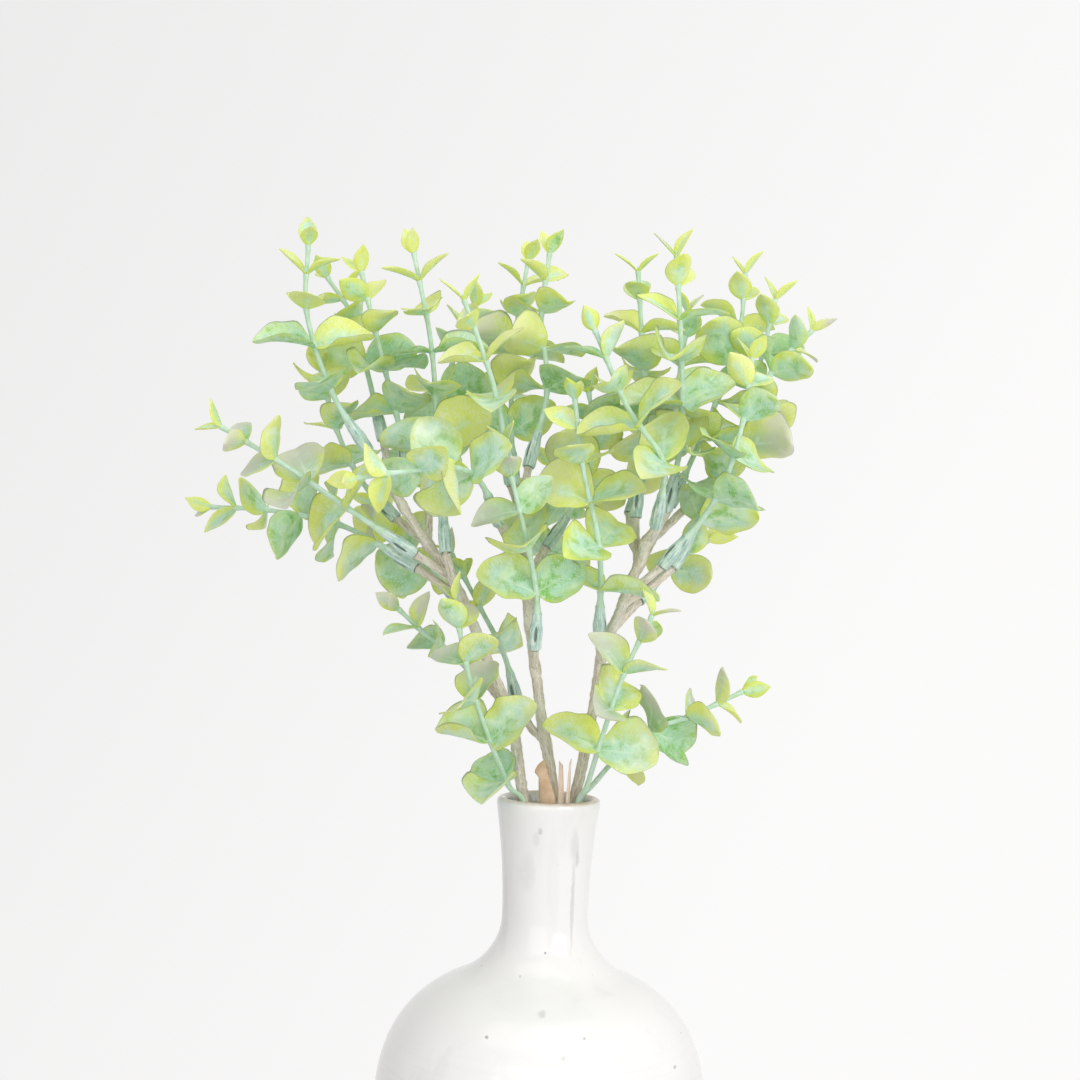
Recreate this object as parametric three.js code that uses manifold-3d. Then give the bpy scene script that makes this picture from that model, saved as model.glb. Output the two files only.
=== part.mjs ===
// A moulded eucalyptus arrangement that stands in a glazed bottle vase.
// Millimetres. +Z is up, -Y faces the viewer, and the origin is the middle of the bottle's flat foot.

import * as THREE from 'three';
import { mergeVertices } from 'three/addons/utils/BufferGeometryUtils.js';
import Module from 'manifold-3d';

const wasm = await Module();
wasm.setup();

// Bottle
const BOTTLE_TOP = 225.2;
const MOUTH_RADIUS = 25;
const THROAT_RADIUS = 20.8;
const BELLY_RADIUS = 79.8;
const BELLY_HEIGHT = 78;
const FOOT_RADIUS = 50;
const WALL = 4.8;
const FLOOR = 6.5;
const FOOT_INSET = 4;
const LIP = [[1.2, 0.6], [2.8, 0], [4.6, 0.9]];
const BOTTLE_FACETS = 24;
const OUTSIDE_STEPS = [3, 4, 2, 3];
const INSIDE_STEPS = [2, 2, 1, 1];

// Woody main stems, with a wire core that keeps each one bent
const STEM_FOOT_RADIUS = 2.9;
const STEM_TOP_RADIUS = 2.2;
const STEM_SIDES = 6;
const STEM_STEPS = 12;
const TWIG_RADIUS = 2.1;
const TWIG_SIDES = 4;
const WIRE_RADIUS = 0.8;
const WIRE_BORE_RADIUS = 1.25;
const WIRE_SIDES = 4;
const WIRE_STEPS = 9;

// Sockets, moulded with each spray, that slip over a peg at the end of a twig
const SOCKET_LENGTH = 17;
const SOCKET_RADIUS = 3.4;
const SOCKET_NECK_RADIUS = 2.3;
const SOCKET_BORE_RADIUS = 2.15;
const SOCKET_BORE_DEPTH = 8.5;
const SOCKET_SIDES = 5;
const NECK_SHARE = 0.6;
const PEG_RADIUS = 1.45;
const PEG_LENGTH = 7.5;
const PEG_SHOULDER_GAP = 0.5;

// Leafy stems
const SPRAY_ROOT_RADIUS = 1.45;
const SPRAY_TIP_RADIUS = 1.05;
const LEAF_ROOT_HALF = 0.8;
const BUD_LENGTH = 3;
const TAIL_RINGS = [0, 0.35, 0.72];
const BACKWARD_REACH = 30;
const FIRST_GAP = 13.5;
const GAP_GROWTH = 2.7;
const LARGEST_GAP = 22.5;

// Leaves, from the tip pair downwards
const TIP_LEAF = 14.5;
const LEAF_GROWTH = 4.2;
const LARGEST_LEAF = 27.5;
const TIP_RATIO = 0.56;
const RATIO_GROWTH = 0.13;
const LARGEST_RATIO = 0.92;
const WIDEST_BIAS = 0.85;
const ROUNDNESS = 0.6;
const TIP_TILT = 34;
const TILT_GROWTH = 15;
const LARGEST_TILT = 68;
const SMALLEST_TILT = 24;
const LOOSE_TURN = 24;
const LOOSE_TILT = 30;
const LOOSE_ROLL = 70;
const FRONT = [0.15, -1, 0.1];
const OPENING = 0.55;
const LOOSE_SIZE = 0.16;
const TIP_LOOSENESS = 0.4;
const LOOSENESS_GROWTH = 0.3;
const TIP_CURL = -0.1;
const CURL_GROWTH = 0.1;
const CURL_PAIRS = 3;
const LOOSE_CURL = 0.5;
const CUP = 0.15;
const LOOSE_CUP = 0.25;
const LOOSE_TWIST = 0.5;
const DRAWS_PER_LEAF = 7;
const SEED_STEP = 7919;
const LEAF_ROWS = [0.27, 0.72];
const BLADE = 0.8;
const BARE_ABOVE_SOCKET = 5;

// Room kept between pieces that are not moulded together, and the share of a leaf that is its root
const CLEARANCE = 0.3;
const OWN_ROOT = 0.22;

const TRUNKS = {
  left: [[34, 18, 7.6], [17, 9, 90], [0, -4, 168], [-12, -3, 224], [-19, -4, 262], [-29, -5, 285],
    [-41, -4, 312], [-51, -2, 331], [-61, 0, 344], [-73, 4, 360], [-81, 8, 373], [-86, 12, 385]],
  centre: [[14, -36, 7.6], [12, -17, 90], [8, -2, 168], [2, -2, 229], [-4, -5, 260], [-7, -6, 279],
    [-10, -8, 297], [-13, -8, 316], [-15, -8, 335], [-16, -6, 349], [-17, -2, 369]],
  right: [[-32, 14, 7.6], [-14, 9, 90], [1, 6, 168], [13, 4, 225], [20, 5, 265], [23, 4, 290],
    [26, 3, 302], [32, 2, 317], [37, 0, 332], [41, -2, 341], [43, -4, 351]],
};

// Each spray leaves its main stem at the height given by twig, and runs through the points of route.
// A spray with a tail has no socket: its bare stem slips down the neck beside the main stems.
const SPRAYS = [
  { name: 'spray_front', twig: ['centre', 338], roll: 20,
    route: [[-28, -18, 357], [-37, -40, 376], [-49, -66, 381], [-66, -84, 378], [-88, -92, 374]] },
  { name: 'spray_rim_right', tail: 58, roll: 80,
    route: [[10, -8, 178], [13.5, -9, 221], [18, -14, 233], [23, -26, 254], [32, -34, 286],
      [45, -36, 316]] },
  { name: 'spray_rim_left', tail: 60, roll: 60,
    route: [[-5, -9, 172], [-11.5, -9.5, 221], [-20, -13, 233], [-34, -26, 268], [-42, -30, 295],
      [-47, -30, 320]] },
  { name: 'spray_rim_far_right', tail: 62, roll: 20,
    route: [[10, 5, 178], [14.5, -2.5, 221], [22, -2, 233], [43, -6, 257], [67, -4, 267], [92, 0, 279]] },
  { name: 'spray_right_arch', twig: ['right', 351], roll: 80,
    route: [[47, -10, 358], [49, -24, 376], [47, -36, 390], [30, -46, 412], [14, -50, 446]] },
  { name: 'spray_centre_right', twig: ['right', 292], roll: 65,
    route: [[22, -7, 302], [20, -26, 346], [11, -34, 383], [6, -38, 415]] },
  { name: 'spray_centre_low', twig: ['centre', 288], roll: 90,
    route: [[-9, -17, 298], [-9, -28, 325], [-17, -38, 359], [-26, -42, 391]] },
  { name: 'spray_left_long', twig: ['left', 330], roll: 60,
    route: [[-68, -8, 341], [-99, -16, 361], [-130, -22, 381], [-160, -24, 398]] },
  { name: 'spray_left_tall', twig: ['left', 364], roll: 5,
    route: [[-93, 4, 390], [-111, -4, 418], [-123, -12, 454], [-123, -16, 486]] },
  { name: 'spray_top_right', twig: ['right', 346], roll: 85,
    route: [[53, 3, 366], [58, -8, 400], [56, -20, 440], [52, -24, 485]] },
  { name: 'spray_top_left', twig: ['left', 322], roll: 5,
    route: [[-53, -10, 342], [-58, 0, 382], [-64, 6, 441], [-74, 4, 487]] },
  { name: 'spray_right_hooked', twig: ['right', 326], roll: 40,
    route: [[51, -7, 339], [75, -16, 372], [86, -18, 407], [90, -14, 439]] },
  { name: 'spray_centre_left', twig: ['centre', 362], roll: 90,
    route: [[-23, -14, 376], [-30, -24, 413], [-37, -30, 435], [-47, -34, 460]] },
  { name: 'spray_left_inner', twig: ['left', 371], roll: 45,
    route: [[-75, 18, 380], [-80, 18, 405], [-91, 14, 444], [-100, 12, 478]] },
  { name: 'spray_top_centre', twig: ['centre', 369], roll: 40,
    route: [[-15, 8, 385], [-7, 20, 424], [-11, 28, 460], [-8, 30, 493]] },
  { name: 'spray_top_inner_right', twig: ['right', 338], roll: 80,
    route: [[38, 6, 362], [42, 14, 413], [39, 16, 450], [36, 14, 483]] },
  { name: 'spray_far_left', twig: ['left', 318], roll: 30,
    route: [[-68, 8, 334], [-105, 20, 353], [-143, 32, 360], [-175, 40, 361]] },
  { name: 'spray_far_right', twig: ['right', 320], roll: 50,
    route: [[57, 6, 338], [87, 22, 392], [104, 30, 435], [125, 32, 459]] },
  { name: 'spray_right_tall', twig: ['right', 349], roll: 60,
    route: [[64, 26, 368], [88, 40, 399], [101, 50, 441], [109, 54, 477]] },
  { name: 'spray_left_behind', twig: ['left', 378], roll: 5,
    route: [[-88, 26, 397], [-98, 34, 432], [-107, 38, 460], [-120, 40, 479]] },
  { name: 'spray_low_left', twig: ['centre', 252], roll: 70,
    route: [[-16, 6, 267], [-24, 18, 292], [-37, 26, 315], [-52, 30, 341]] },
  { name: 'spray_middle_behind', twig: ['centre', 330], roll: 30,
    route: [[-5, 4, 346], [8, 12, 368], [18, 22, 396], [14, 30, 424]] },
  { name: 'spray_top_behind', twig: ['centre', 350], roll: 10,
    route: [[-22, 32, 376], [-25, 46, 415], [-24, 56, 455], [-19, 60, 494]] },
  { name: 'spray_right_behind', twig: ['right', 332], roll: 62,
    route: [[57, 34, 369], [75, 50, 410], [91, 60, 457], [94, 62, 491]] },
  { name: 'spray_right_small', twig: ['right', 306], roll: 35,
    route: [[42, 20, 321], [54, 32, 334], [66, 44, 343], [78, 52, 352]] },
  { name: 'spray_left_low', twig: ['left', 262], roll: 25,
    route: [[-31, 6, 278], [-45, 6, 290], [-61, 2, 301], [-75, -6, 314]] },
  { name: 'spray_left_small', twig: ['left', 346], roll: 40,
    route: [[-80, 24, 358], [-99, 30, 377], [-112, 30, 402], [-120, 26, 430]] },
  { name: 'spray_back_left_low', twig: ['left', 296], roll: 20,
    route: [[-46, 16, 318], [-75, 48, 340], [-96, 84, 366]] },
  { name: 'spray_back_left_high', twig: ['left', 346], roll: 65,
    route: [[-64, 22, 368], [-68, 44, 402], [-58, 60, 436], [-46, 64, 470]] },
  { name: 'spray_back_centre', twig: ['centre', 308], roll: 35,
    route: [[-10, 14, 322], [-6, 54, 352], [-4, 96, 390]] },
  { name: 'spray_back_right_high', twig: ['right', 341], roll: 15,
    route: [[36, 24, 364], [50, 52, 400], [62, 72, 438], [66, 78, 472]] },
];

// Where a leaf would meet something else it is turned round its stem, lifted or made smaller,
// one step after the other: degrees of turn, degrees of lift, share of its size.
const MOVES = [
  [0, 0, 1], [12, 0, 1], [-12, 0, 1], [0, -14, 1], [0, 12, 1], [22, -10, 0.96], [-22, -10, 0.96],
  [20, 12, 0.92], [-20, 12, 0.92], [0, -26, 0.9], [0, 24, 0.88], [34, 0, 0.85], [-34, 0, 0.85],
  [16, -32, 0.8], [-16, -32, 0.8], [16, 28, 0.75], [-16, 28, 0.75], [44, -18, 0.7], [-44, -18, 0.7],
  [0, -40, 0.62], [30, 20, 0.6], [-30, 20, 0.6], [0, 0, 0.52], [26, -24, 0.46], [-26, -24, 0.46],
];

const COLOURS = {
  glaze: [0xf1efec, 0.18],
  bark: [0x9c9384, 0.7],
  wire: [0x8d8f92, 0.4],
  leaf: [0xa9cfa6, 0.55],
  paper: [0xc9ab86, 0.9],
  straw: [0xe6dcc4, 0.8],
};

// Corners closer together than this are one corner.
const WELD = 1e-4;

const vector = (point) => new THREE.Vector3(...point);
const curveThrough = (points) => new THREE.CatmullRomCurve3(points.map(vector), false, 'catmullrom', 0.5);
const radians = THREE.MathUtils.degToRad;
const mix = THREE.MathUtils.lerp;

// A repeatable stream of numbers from 0 to 1.
function drawsFrom(seed) {
  let state = seed;
  return () => {
    state = (1664525 * state + 1013904223) % 4294967296;
    return state / 4294967296;
  };
}

function meshGeometry(points, triangles) {
  const geometry = new THREE.BufferGeometry();
  geometry.setAttribute('position', new THREE.Float32BufferAttribute(points.flatMap((p) => p.toArray()), 3));
  geometry.setIndex(triangles.flat());
  return geometry;
}

function toSolid(geometry) {
  const bare = geometry.clone();
  bare.deleteAttribute('normal');
  bare.deleteAttribute('uv');
  const merged = mergeVertices(bare, WELD);
  return new wasm.Manifold(new wasm.Mesh({
    numProp: 3,
    vertProperties: new Float32Array(merged.attributes.position.array),
    triVerts: new Uint32Array(merged.index.array),
  }));
}

function toGeometry(solid) {
  const mesh = solid.getMesh();
  const geometry = new THREE.BufferGeometry();
  geometry.setAttribute('position', new THREE.BufferAttribute(new Float32Array(mesh.vertProperties), 3));
  geometry.setIndex(new THREE.BufferAttribute(new Uint32Array(mesh.triVerts), 1));
  return geometry;
}

// A closed tube through stations, each with a point, a direction and a radius.
function tube(stations, sides) {
  const chord = stations.at(-1).at.clone().sub(stations[0].at);
  const flattest = ['x', 'y', 'z'].sort((a, b) => Math.abs(chord[a]) - Math.abs(chord[b]))[0];
  const reference = new THREE.Vector3();
  reference[flattest] = 1;
  const points = [];
  for (const station of stations) {
    const right = reference.clone().cross(station.along).normalize();
    const up = station.along.clone().cross(right).normalize();
    for (let k = 0; k < sides; k += 1) {
      const angle = (2 * Math.PI * k) / sides;
      points.push(station.at.clone()
        .addScaledVector(right, station.radius * Math.cos(angle))
        .addScaledVector(up, station.radius * Math.sin(angle)));
    }
  }
  const triangles = [];
  for (let ring = 0; ring < stations.length - 1; ring += 1) {
    for (let k = 0; k < sides; k += 1) {
      const a = ring * sides + k;
      const b = ring * sides + ((k + 1) % sides);
      triangles.push([a, b, b + sides], [a, b + sides, a + sides]);
    }
  }
  const last = (stations.length - 1) * sides;
  for (let k = 1; k < sides - 1; k += 1) {
    triangles.push([0, k + 1, k], [last, last + k, last + k + 1]);
  }
  return meshGeometry(points, triangles);
}

// Outline of a leaf: its half width along the midrib, as a share of the widest half width.
const outline = (s) => Math.sin(Math.PI * s ** WIDEST_BIAS) ** ROUNDNESS;

// A point of a leaf's middle surface. s runs from the root to the tip, t from edge to edge.
function leafPoint(leaf, s, t) {
  const face = leaf.face.clone().addScaledVector(leaf.along, leaf.curl * s).normalize();
  const half = 0.5 * leaf.length * leaf.ratio * outline(s);
  const lift = half * (leaf.cup * t * t + leaf.twist * s * t);
  const point = leaf.root.clone()
    .addScaledVector(leaf.along, leaf.length * s)
    .addScaledVector(leaf.face, -0.5 * leaf.curl * leaf.length * s * s)
    .addScaledVector(leaf.across, t * half)
    .addScaledVector(face, lift);
  return { point, face };
}

// The two faces of a leaf: rows of edge, midrib, edge, and then the tip.
function leafFaces(leaf, thickness, spread = 1) {
  const row = (s) => [spread, 0, -spread].map((t) => leafPoint(leaf, s, t));
  const spots = [...LEAF_ROWS.flatMap(row), leafPoint(leaf, 1, 0)];
  const shifted = (distance) => spots.map(({ point, face }) => point.clone().addScaledVector(face, distance));
  return { upper: shifted(thickness / 2), lower: shifted(-thickness / 2) };
}

// Triangles from one row of a leaf to the next and to its tip, alike on both faces, with its two edges.
// The root is two points on each face, left and right as seen from outside the stem.
function leafTriangles(root, upper, lower) {
  const triangles = [
    [root.upperLeft, upper, upper + 1], [root.upperLeft, upper + 1, root.upperRight],
    [root.upperRight, upper + 1, upper + 2],
    [root.lowerLeft, lower + 1, lower], [root.lowerLeft, root.lowerRight, lower + 1],
    [root.lowerRight, lower + 2, lower + 1],
    [root.lowerLeft, lower, upper], [root.lowerLeft, upper, root.upperLeft],
    [root.lowerRight, root.upperRight, upper + 2], [root.lowerRight, upper + 2, lower + 2],
  ];
  const rows = LEAF_ROWS.length;
  for (let row = 0; row < rows; row += 1) {
    const a = 3 * row;
    const last = row === rows - 1;
    const next = last ? [3 * rows, 3 * rows, 3 * rows] : [a + 3, a + 4, a + 5];
    for (const side of [0, 1]) {
      const [p, q] = [a + side, a + side + 1];
      const [r, t] = [next[side], next[side + 1]];
      triangles.push([upper + p, upper + r, upper + q], [lower + p, lower + q, lower + r]);
      if (!last) triangles.push([upper + q, upper + r, upper + t], [lower + q, lower + t, lower + r]);
    }
    triangles.push([lower + a, lower + next[0], upper + next[0]], [lower + a, upper + next[0], upper + a]);
    triangles.push([lower + a + 2, upper + a + 2, upper + next[2]]);
    triangles.push([lower + a + 2, upper + next[2], lower + next[2]]);
  }
  return triangles;
}

// A leaf on its own, a little thicker and wider than the real one, to try whether it has room.
function trialLeaf(leaf, from) {
  const { upper, lower } = leafFaces(leaf, BLADE + CLEARANCE, 1.03);
  const { point, face } = leafPoint(leaf, from, 0);
  const root = [[1, 1], [-1, 1], [1, -1], [-1, -1]].map(([left, up]) => point.clone()
    .addScaledVector(leaf.across, left * LEAF_ROOT_HALF)
    .addScaledVector(face, up * (BLADE + CLEARANCE) / 2));
  const corners = { upperLeft: 0, upperRight: 1, lowerLeft: 2, lowerRight: 3 };
  const triangles = leafTriangles(corners, 4, 4 + upper.length);
  triangles.push([0, 1, 3], [0, 3, 2]);
  return shapeOf(meshGeometry([...root, ...upper, ...lower], triangles));
}

// Shapes kept for the clearance test: corner arrays of triangles and edges, and a box round them.
function shapeOf(geometry) {
  const position = geometry.attributes.position;
  const index = geometry.index ? [...geometry.index.array] : [...Array(position.count).keys()];
  const corner = (i) => [position.getX(i), position.getY(i), position.getZ(i)];
  const triangles = [];
  const edges = new Map();
  for (let k = 0; k < index.length; k += 3) {
    const corners = [index[k], index[k + 1], index[k + 2]];
    triangles.push(corners.map(corner));
    corners.forEach((a, side) => {
      const b = corners[(side + 1) % 3];
      edges.set(a < b ? `${a} ${b}` : `${b} ${a}`, [corner(a), corner(b)]);
    });
  }
  geometry.computeBoundingBox();
  return { triangles, edges: [...edges.values()], box: geometry.boundingBox.clone() };
}

const minus = (a, b) => [a[0] - b[0], a[1] - b[1], a[2] - b[2]];
const dot = (a, b) => a[0] * b[0] + a[1] * b[1] + a[2] * b[2];
const cross = (a, b) => [a[1] * b[2] - a[2] * b[1], a[2] * b[0] - a[0] * b[2], a[0] * b[1] - a[1] * b[0]];

// True where the edge passes through the triangle.
function pierces([start, end], [p, q, r]) {
  const ray = minus(end, start);
  const first = minus(q, p);
  const second = minus(r, p);
  const normal = cross(ray, second);
  const slope = dot(first, normal);
  if (Math.abs(slope) < 1e-12) return false;
  const offset = minus(start, p);
  const u = dot(offset, normal) / slope;
  if (u < 0 || u > 1) return false;
  const turned = cross(offset, first);
  const v = dot(ray, turned) / slope;
  if (v < 0 || u + v > 1) return false;
  const along = dot(second, turned) / slope;
  return along >= 0 && along <= 1;
}

function withinBox(corners, box) {
  for (let axis = 0; axis < 3; axis += 1) {
    const low = box.min.getComponent(axis);
    const high = box.max.getComponent(axis);
    if (corners.every((c) => c[axis] < low) || corners.every((c) => c[axis] > high)) return false;
  }
  return true;
}

function meets(one, other) {
  if (!one.box.intersectsBox(other.box)) return false;
  const near = (list, box) => list.filter((corners) => withinBox(corners, box));
  const hit = (edges, triangles) => edges.some((edge) => triangles.some((t) => pierces(edge, t)));
  return hit(near(one.edges, other.box), near(other.triangles, one.box))
    || hit(near(other.edges, one.box), near(one.triangles, other.box));
}

// Bottle: one turned profile, from the middle of the foot, up the outside and down the inside.
function bottleProfile() {
  const spot = ([radius, height]) => new THREE.Vector2(radius, height);
  const curve = (...points) => new THREE.CubicBezierCurve(...points.map(spot));
  const belly = curve([FOOT_RADIUS + 2, 1.5], [66, 8], [BELLY_RADIUS, 34], [BELLY_RADIUS, BELLY_HEIGHT]);
  const shoulder = curve([BELLY_RADIUS, BELLY_HEIGHT], [BELLY_RADIUS, 120], [54, 137], [29, 142.5]);
  const rise = curve([29, 142.5], [24.5, 147.5], [21.6, 155], [THROAT_RADIUS, 163]);
  const neck = curve([THROAT_RADIUS, 163], [20.3, 186], [22.6, 206], [MOUTH_RADIUS, BOTTLE_TOP - 3.2]);
  const outside = [belly, shoulder, rise, neck];
  const sample = (steps, inset) => outside.flatMap((part, k) => {
    const points = [];
    for (let i = k === 0 ? 0 : 1; i <= steps[k]; i += 1) {
      const at = part.getPoint(i / steps[k]);
      const along = part.getTangent(i / steps[k]);
      points.push(new THREE.Vector2(at.x - inset * along.y, at.y + inset * along.x));
    }
    return points;
  });
  const outer = sample(OUTSIDE_STEPS, 0);
  const inner = sample(INSIDE_STEPS, WALL).filter((p) => p.y > FLOOR + FOOT_INSET).reverse();
  return [
    spot([0, 0]), spot([FOOT_RADIUS, 0]), ...outer,
    ...LIP.map(([inwards, down]) => spot([MOUTH_RADIUS - inwards, BOTTLE_TOP - down])), ...inner,
    spot([FOOT_RADIUS - FOOT_INSET, FLOOR]), spot([0, FLOOR]),
  ];
}

const bottleGeometry = new THREE.LatheGeometry(bottleProfile(), BOTTLE_FACETS);
bottleGeometry.rotateX(Math.PI / 2);

// Main stems
const trunkCurves = {};
for (const [name, points] of Object.entries(TRUNKS)) trunkCurves[name] = curveThrough(points);

function stationsAlong(curve, from, to, steps, radiusFrom, radiusTo) {
  return Array.from({ length: steps + 1 }, (_, k) => {
    const t = mix(from, to, k / steps);
    const radius = mix(radiusFrom, radiusTo, k / steps);
    return { at: curve.getPoint(t), along: curve.getTangent(t), radius };
  });
}

function pointAtHeight(curve, height) {
  const steps = 400;
  for (let k = 0; k <= steps; k += 1) {
    const point = curve.getPoint(k / steps);
    if (point.z >= height) return point;
  }
  return curve.getPoint(1);
}

// A twig from the main stem to a spray, ending in the thinner peg that the spray's socket slips over.
function twigGeometry(spray, grow = 0) {
  const start = pointAtHeight(trunkCurves[spray.twig[0]], spray.twig[1]);
  const root = spray.curve.getPointAt(0);
  const along = spray.curve.getTangentAt(0);
  const shoulder = root.clone().addScaledVector(along, -PEG_SHOULDER_GAP);
  return tube([
    { at: start, along: shoulder.clone().sub(start).normalize(), radius: TWIG_RADIUS + grow },
    { at: shoulder, along, radius: TWIG_RADIUS + grow },
    { at: shoulder, along, radius: PEG_RADIUS },
    { at: root.clone().addScaledVector(along, PEG_LENGTH), along, radius: PEG_RADIUS },
  ], TWIG_SIDES);
}

function trunkGeometry(name, grow = 0) {
  const radii = [STEM_FOOT_RADIUS + grow, STEM_TOP_RADIUS + grow];
  return tube(stationsAlong(trunkCurves[name], 0, 1, STEM_STEPS, ...radii), STEM_SIDES);
}

function wireStations(name, radius) {
  return stationsAlong(trunkCurves[name], 0, WIRE_STEPS / STEM_STEPS, WIRE_STEPS, radius, radius);
}

// The wire's bore is open at the cut foot and ends just past the wire.
function wireBore(name) {
  const stations = wireStations(name, WIRE_BORE_RADIUS);
  const shifted = (station, distance) => ({
    ...station, at: station.at.clone().addScaledVector(station.along, distance),
  });
  return tube([shifted(stations[0], -2), ...stations, shifted(stations.at(-1), CLEARANCE)], WIRE_SIDES);
}

function mainStem(name) {
  const fed = sprays.filter((spray) => spray.twig && spray.twig[0] === name);
  const twigs = fed.map((spray) => toSolid(twigGeometry(spray)));
  const whole = wasm.Manifold.union([toSolid(trunkGeometry(name)), ...twigs]);
  return toGeometry(whole.subtract(toSolid(wireBore(name))));
}

// Leafy stems
function pairDistances(spray) {
  const bare = spray.tail ?? SOCKET_LENGTH + BARE_ABOVE_SOCKET;
  const reach = spray.curve.getLength() - bare;
  const distances = [];
  let distance = 0;
  for (let pair = 0; distance <= reach; pair += 1) {
    distances.push(distance);
    distance += Math.min(LARGEST_GAP, FIRST_GAP + GAP_GROWTH * pair);
  }
  return distances;
}

// Directions at a place on a leafy stem: along it, and the two that its leaf pairs point in.
function sprayFrame(spray, distance) {
  const u = Math.min(1, distance / spray.curve.getLength());
  const at = spray.curve.getPointAt(u);
  const stem = spray.curve.getTangentAt(u);
  const chord = spray.curve.getPointAt(1).sub(spray.curve.getPointAt(0));
  const backwards = Math.abs(chord.y) > Math.abs(chord.x) && Math.abs(chord.y) > BACKWARD_REACH;
  const reference = backwards ? new THREE.Vector3(1, 0, 0) : new THREE.Vector3(0, -1, 0);
  reference.addScaledVector(stem, -reference.dot(stem)).normalize();
  const sideways = stem.clone().cross(reference);
  const towards = (angle) => {
    const ahead = reference.clone().multiplyScalar(Math.cos(angle));
    return ahead.addScaledVector(sideways, Math.sin(angle));
  };
  return { at, stem, radius: mix(SPRAY_ROOT_RADIUS, SPRAY_TIP_RADIUS, u), towards };
}

// Four corners round a leafy stem, halfway between the directions of its leaf pairs.
function stemRing(spray, distance, grow) {
  const frame = sprayFrame(spray, distance);
  return [0, 1, 2, 3].map((corner) => frame.at.clone()
    .addScaledVector(frame.towards(radians(spray.roll + 45 + 90 * corner)), frame.radius + grow));
}

// One closed skin for a leafy stem: square in section, with each leaf drawn out of the side it grows from.
function leafyStemGeometry(spray, leaves, grow = 0) {
  const length = spray.curve.getLength();
  const low = spray.tail ? TAIL_RINGS.map((share) => spray.tail * share) : [SOCKET_LENGTH * NECK_SHARE];
  const marks = low.map((distance) => ({ distance }));
  spray.pairs.forEach((_, k) => {
    const pair = spray.pairs.length - 1 - k;
    const distance = length - spray.pairs[pair];
    marks.push({ distance: distance - LEAF_ROOT_HALF, pair }, { distance: distance + LEAF_ROOT_HALF });
  });
  const points = marks.flatMap(({ distance }) => stemRing(spray, distance, grow));
  const triangles = [[0, 2, 1], [0, 3, 2]];
  marks.slice(0, -1).forEach(({ pair }, ring) => {
    for (let side = 0; side < 4; side += 1) {
      const lowerLeft = 4 * ring + ((side + 3) % 4);
      const lowerRight = 4 * ring + side;
      const root = { lowerLeft, lowerRight, upperLeft: lowerLeft + 4, upperRight: lowerRight + 4 };
      const leaf = leaves.find((one) => one.pair === pair && (one.pair + 2 * one.side) % 4 === side);
      if (leaf) {
        const { upper, lower } = leafFaces(leaf, BLADE);
        triangles.push(...leafTriangles(root, points.length, points.length + upper.length));
        points.push(...upper, ...lower);
      } else {
        triangles.push([lowerLeft, lowerRight, root.upperRight]);
        triangles.push([lowerLeft, root.upperRight, root.upperLeft]);
      }
    }
  });
  const top = 4 * (marks.length - 1);
  const { at, stem } = sprayFrame(spray, length);
  const bud = points.length;
  points.push(at.clone().addScaledVector(stem, BUD_LENGTH));
  for (let side = 0; side < 4; side += 1) triangles.push([top + side, top + ((side + 1) % 4), bud]);
  return meshGeometry(points, triangles);
}

function socketStations(spray, grow = 0) {
  const root = spray.curve.getPointAt(0);
  const along = spray.curve.getTangentAt(0);
  const at = (distance) => root.clone().addScaledVector(along, distance);
  const end = spray.curve.getPointAt(SOCKET_LENGTH / spray.curve.getLength());
  const endAlong = spray.curve.getTangentAt(SOCKET_LENGTH / spray.curve.getLength());
  return [
    { at: at(0), along, radius: SOCKET_RADIUS + grow },
    { at: at(SOCKET_BORE_DEPTH + 1.5), along, radius: SOCKET_RADIUS - 0.2 + grow },
    { at: end, along: endAlong, radius: SOCKET_NECK_RADIUS + grow },
  ];
}

function socketBore(spray) {
  const root = spray.curve.getPointAt(0);
  const along = spray.curve.getTangentAt(0);
  const at = (distance) => root.clone().addScaledVector(along, distance);
  return tube([
    { at: at(-1), along, radius: SOCKET_BORE_RADIUS },
    { at: at(SOCKET_BORE_DEPTH), along, radius: SOCKET_BORE_RADIUS },
  ], SOCKET_SIDES);
}

// The natural pose of one leaf, changed by one of the moves. Its face opens to the front, or to the back
// where it already leans that way.
function leafIn(spray, pair, side, nature, [turn, lift, share]) {
  const frame = sprayFrame(spray, spray.curve.getLength() - spray.pairs[pair]);
  const aside = LOOSE_TURN * (nature[0] - 0.5) + turn;
  const out = frame.towards(radians(spray.roll + 90 * pair + 180 * side + aside));
  const natural = Math.min(LARGEST_TILT, TIP_TILT + TILT_GROWTH * pair) + LOOSE_TILT * (nature[1] - 0.5);
  const tilt = radians(Math.max(SMALLEST_TILT, natural + lift));
  const along = frame.stem.clone().multiplyScalar(Math.cos(tilt)).addScaledVector(out, Math.sin(tilt));
  const face = frame.stem.clone().multiplyScalar(Math.sin(tilt)).addScaledVector(out, -Math.cos(tilt));
  const looseness = Math.min(1, TIP_LOOSENESS + LOOSENESS_GROWTH * pair);
  const front = vector(FRONT);
  face.addScaledVector(front, OPENING * looseness * (face.dot(front) < 0 ? -1 : 1));
  face.addScaledVector(along, -face.dot(along)).normalize();
  face.applyAxisAngle(along, radians(LOOSE_ROLL * (nature[5] - 0.5) * looseness));
  const grown = Math.min(LARGEST_LEAF, TIP_LEAF + LEAF_GROWTH * pair);
  return {
    pair, side, root: frame.at, along, face, across: along.clone().cross(face),
    length: grown * (1 + LOOSE_SIZE * (nature[2] - 0.5)) * share,
    ratio: Math.min(LARGEST_RATIO, TIP_RATIO + RATIO_GROWTH * pair),
    curl: TIP_CURL + CURL_GROWTH * Math.min(pair, CURL_PAIRS) + LOOSE_CURL * nature[3],
    cup: CUP + LOOSE_CUP * nature[4],
    twist: LOOSE_TWIST * (nature[6] - 0.5),
  };
}

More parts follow.
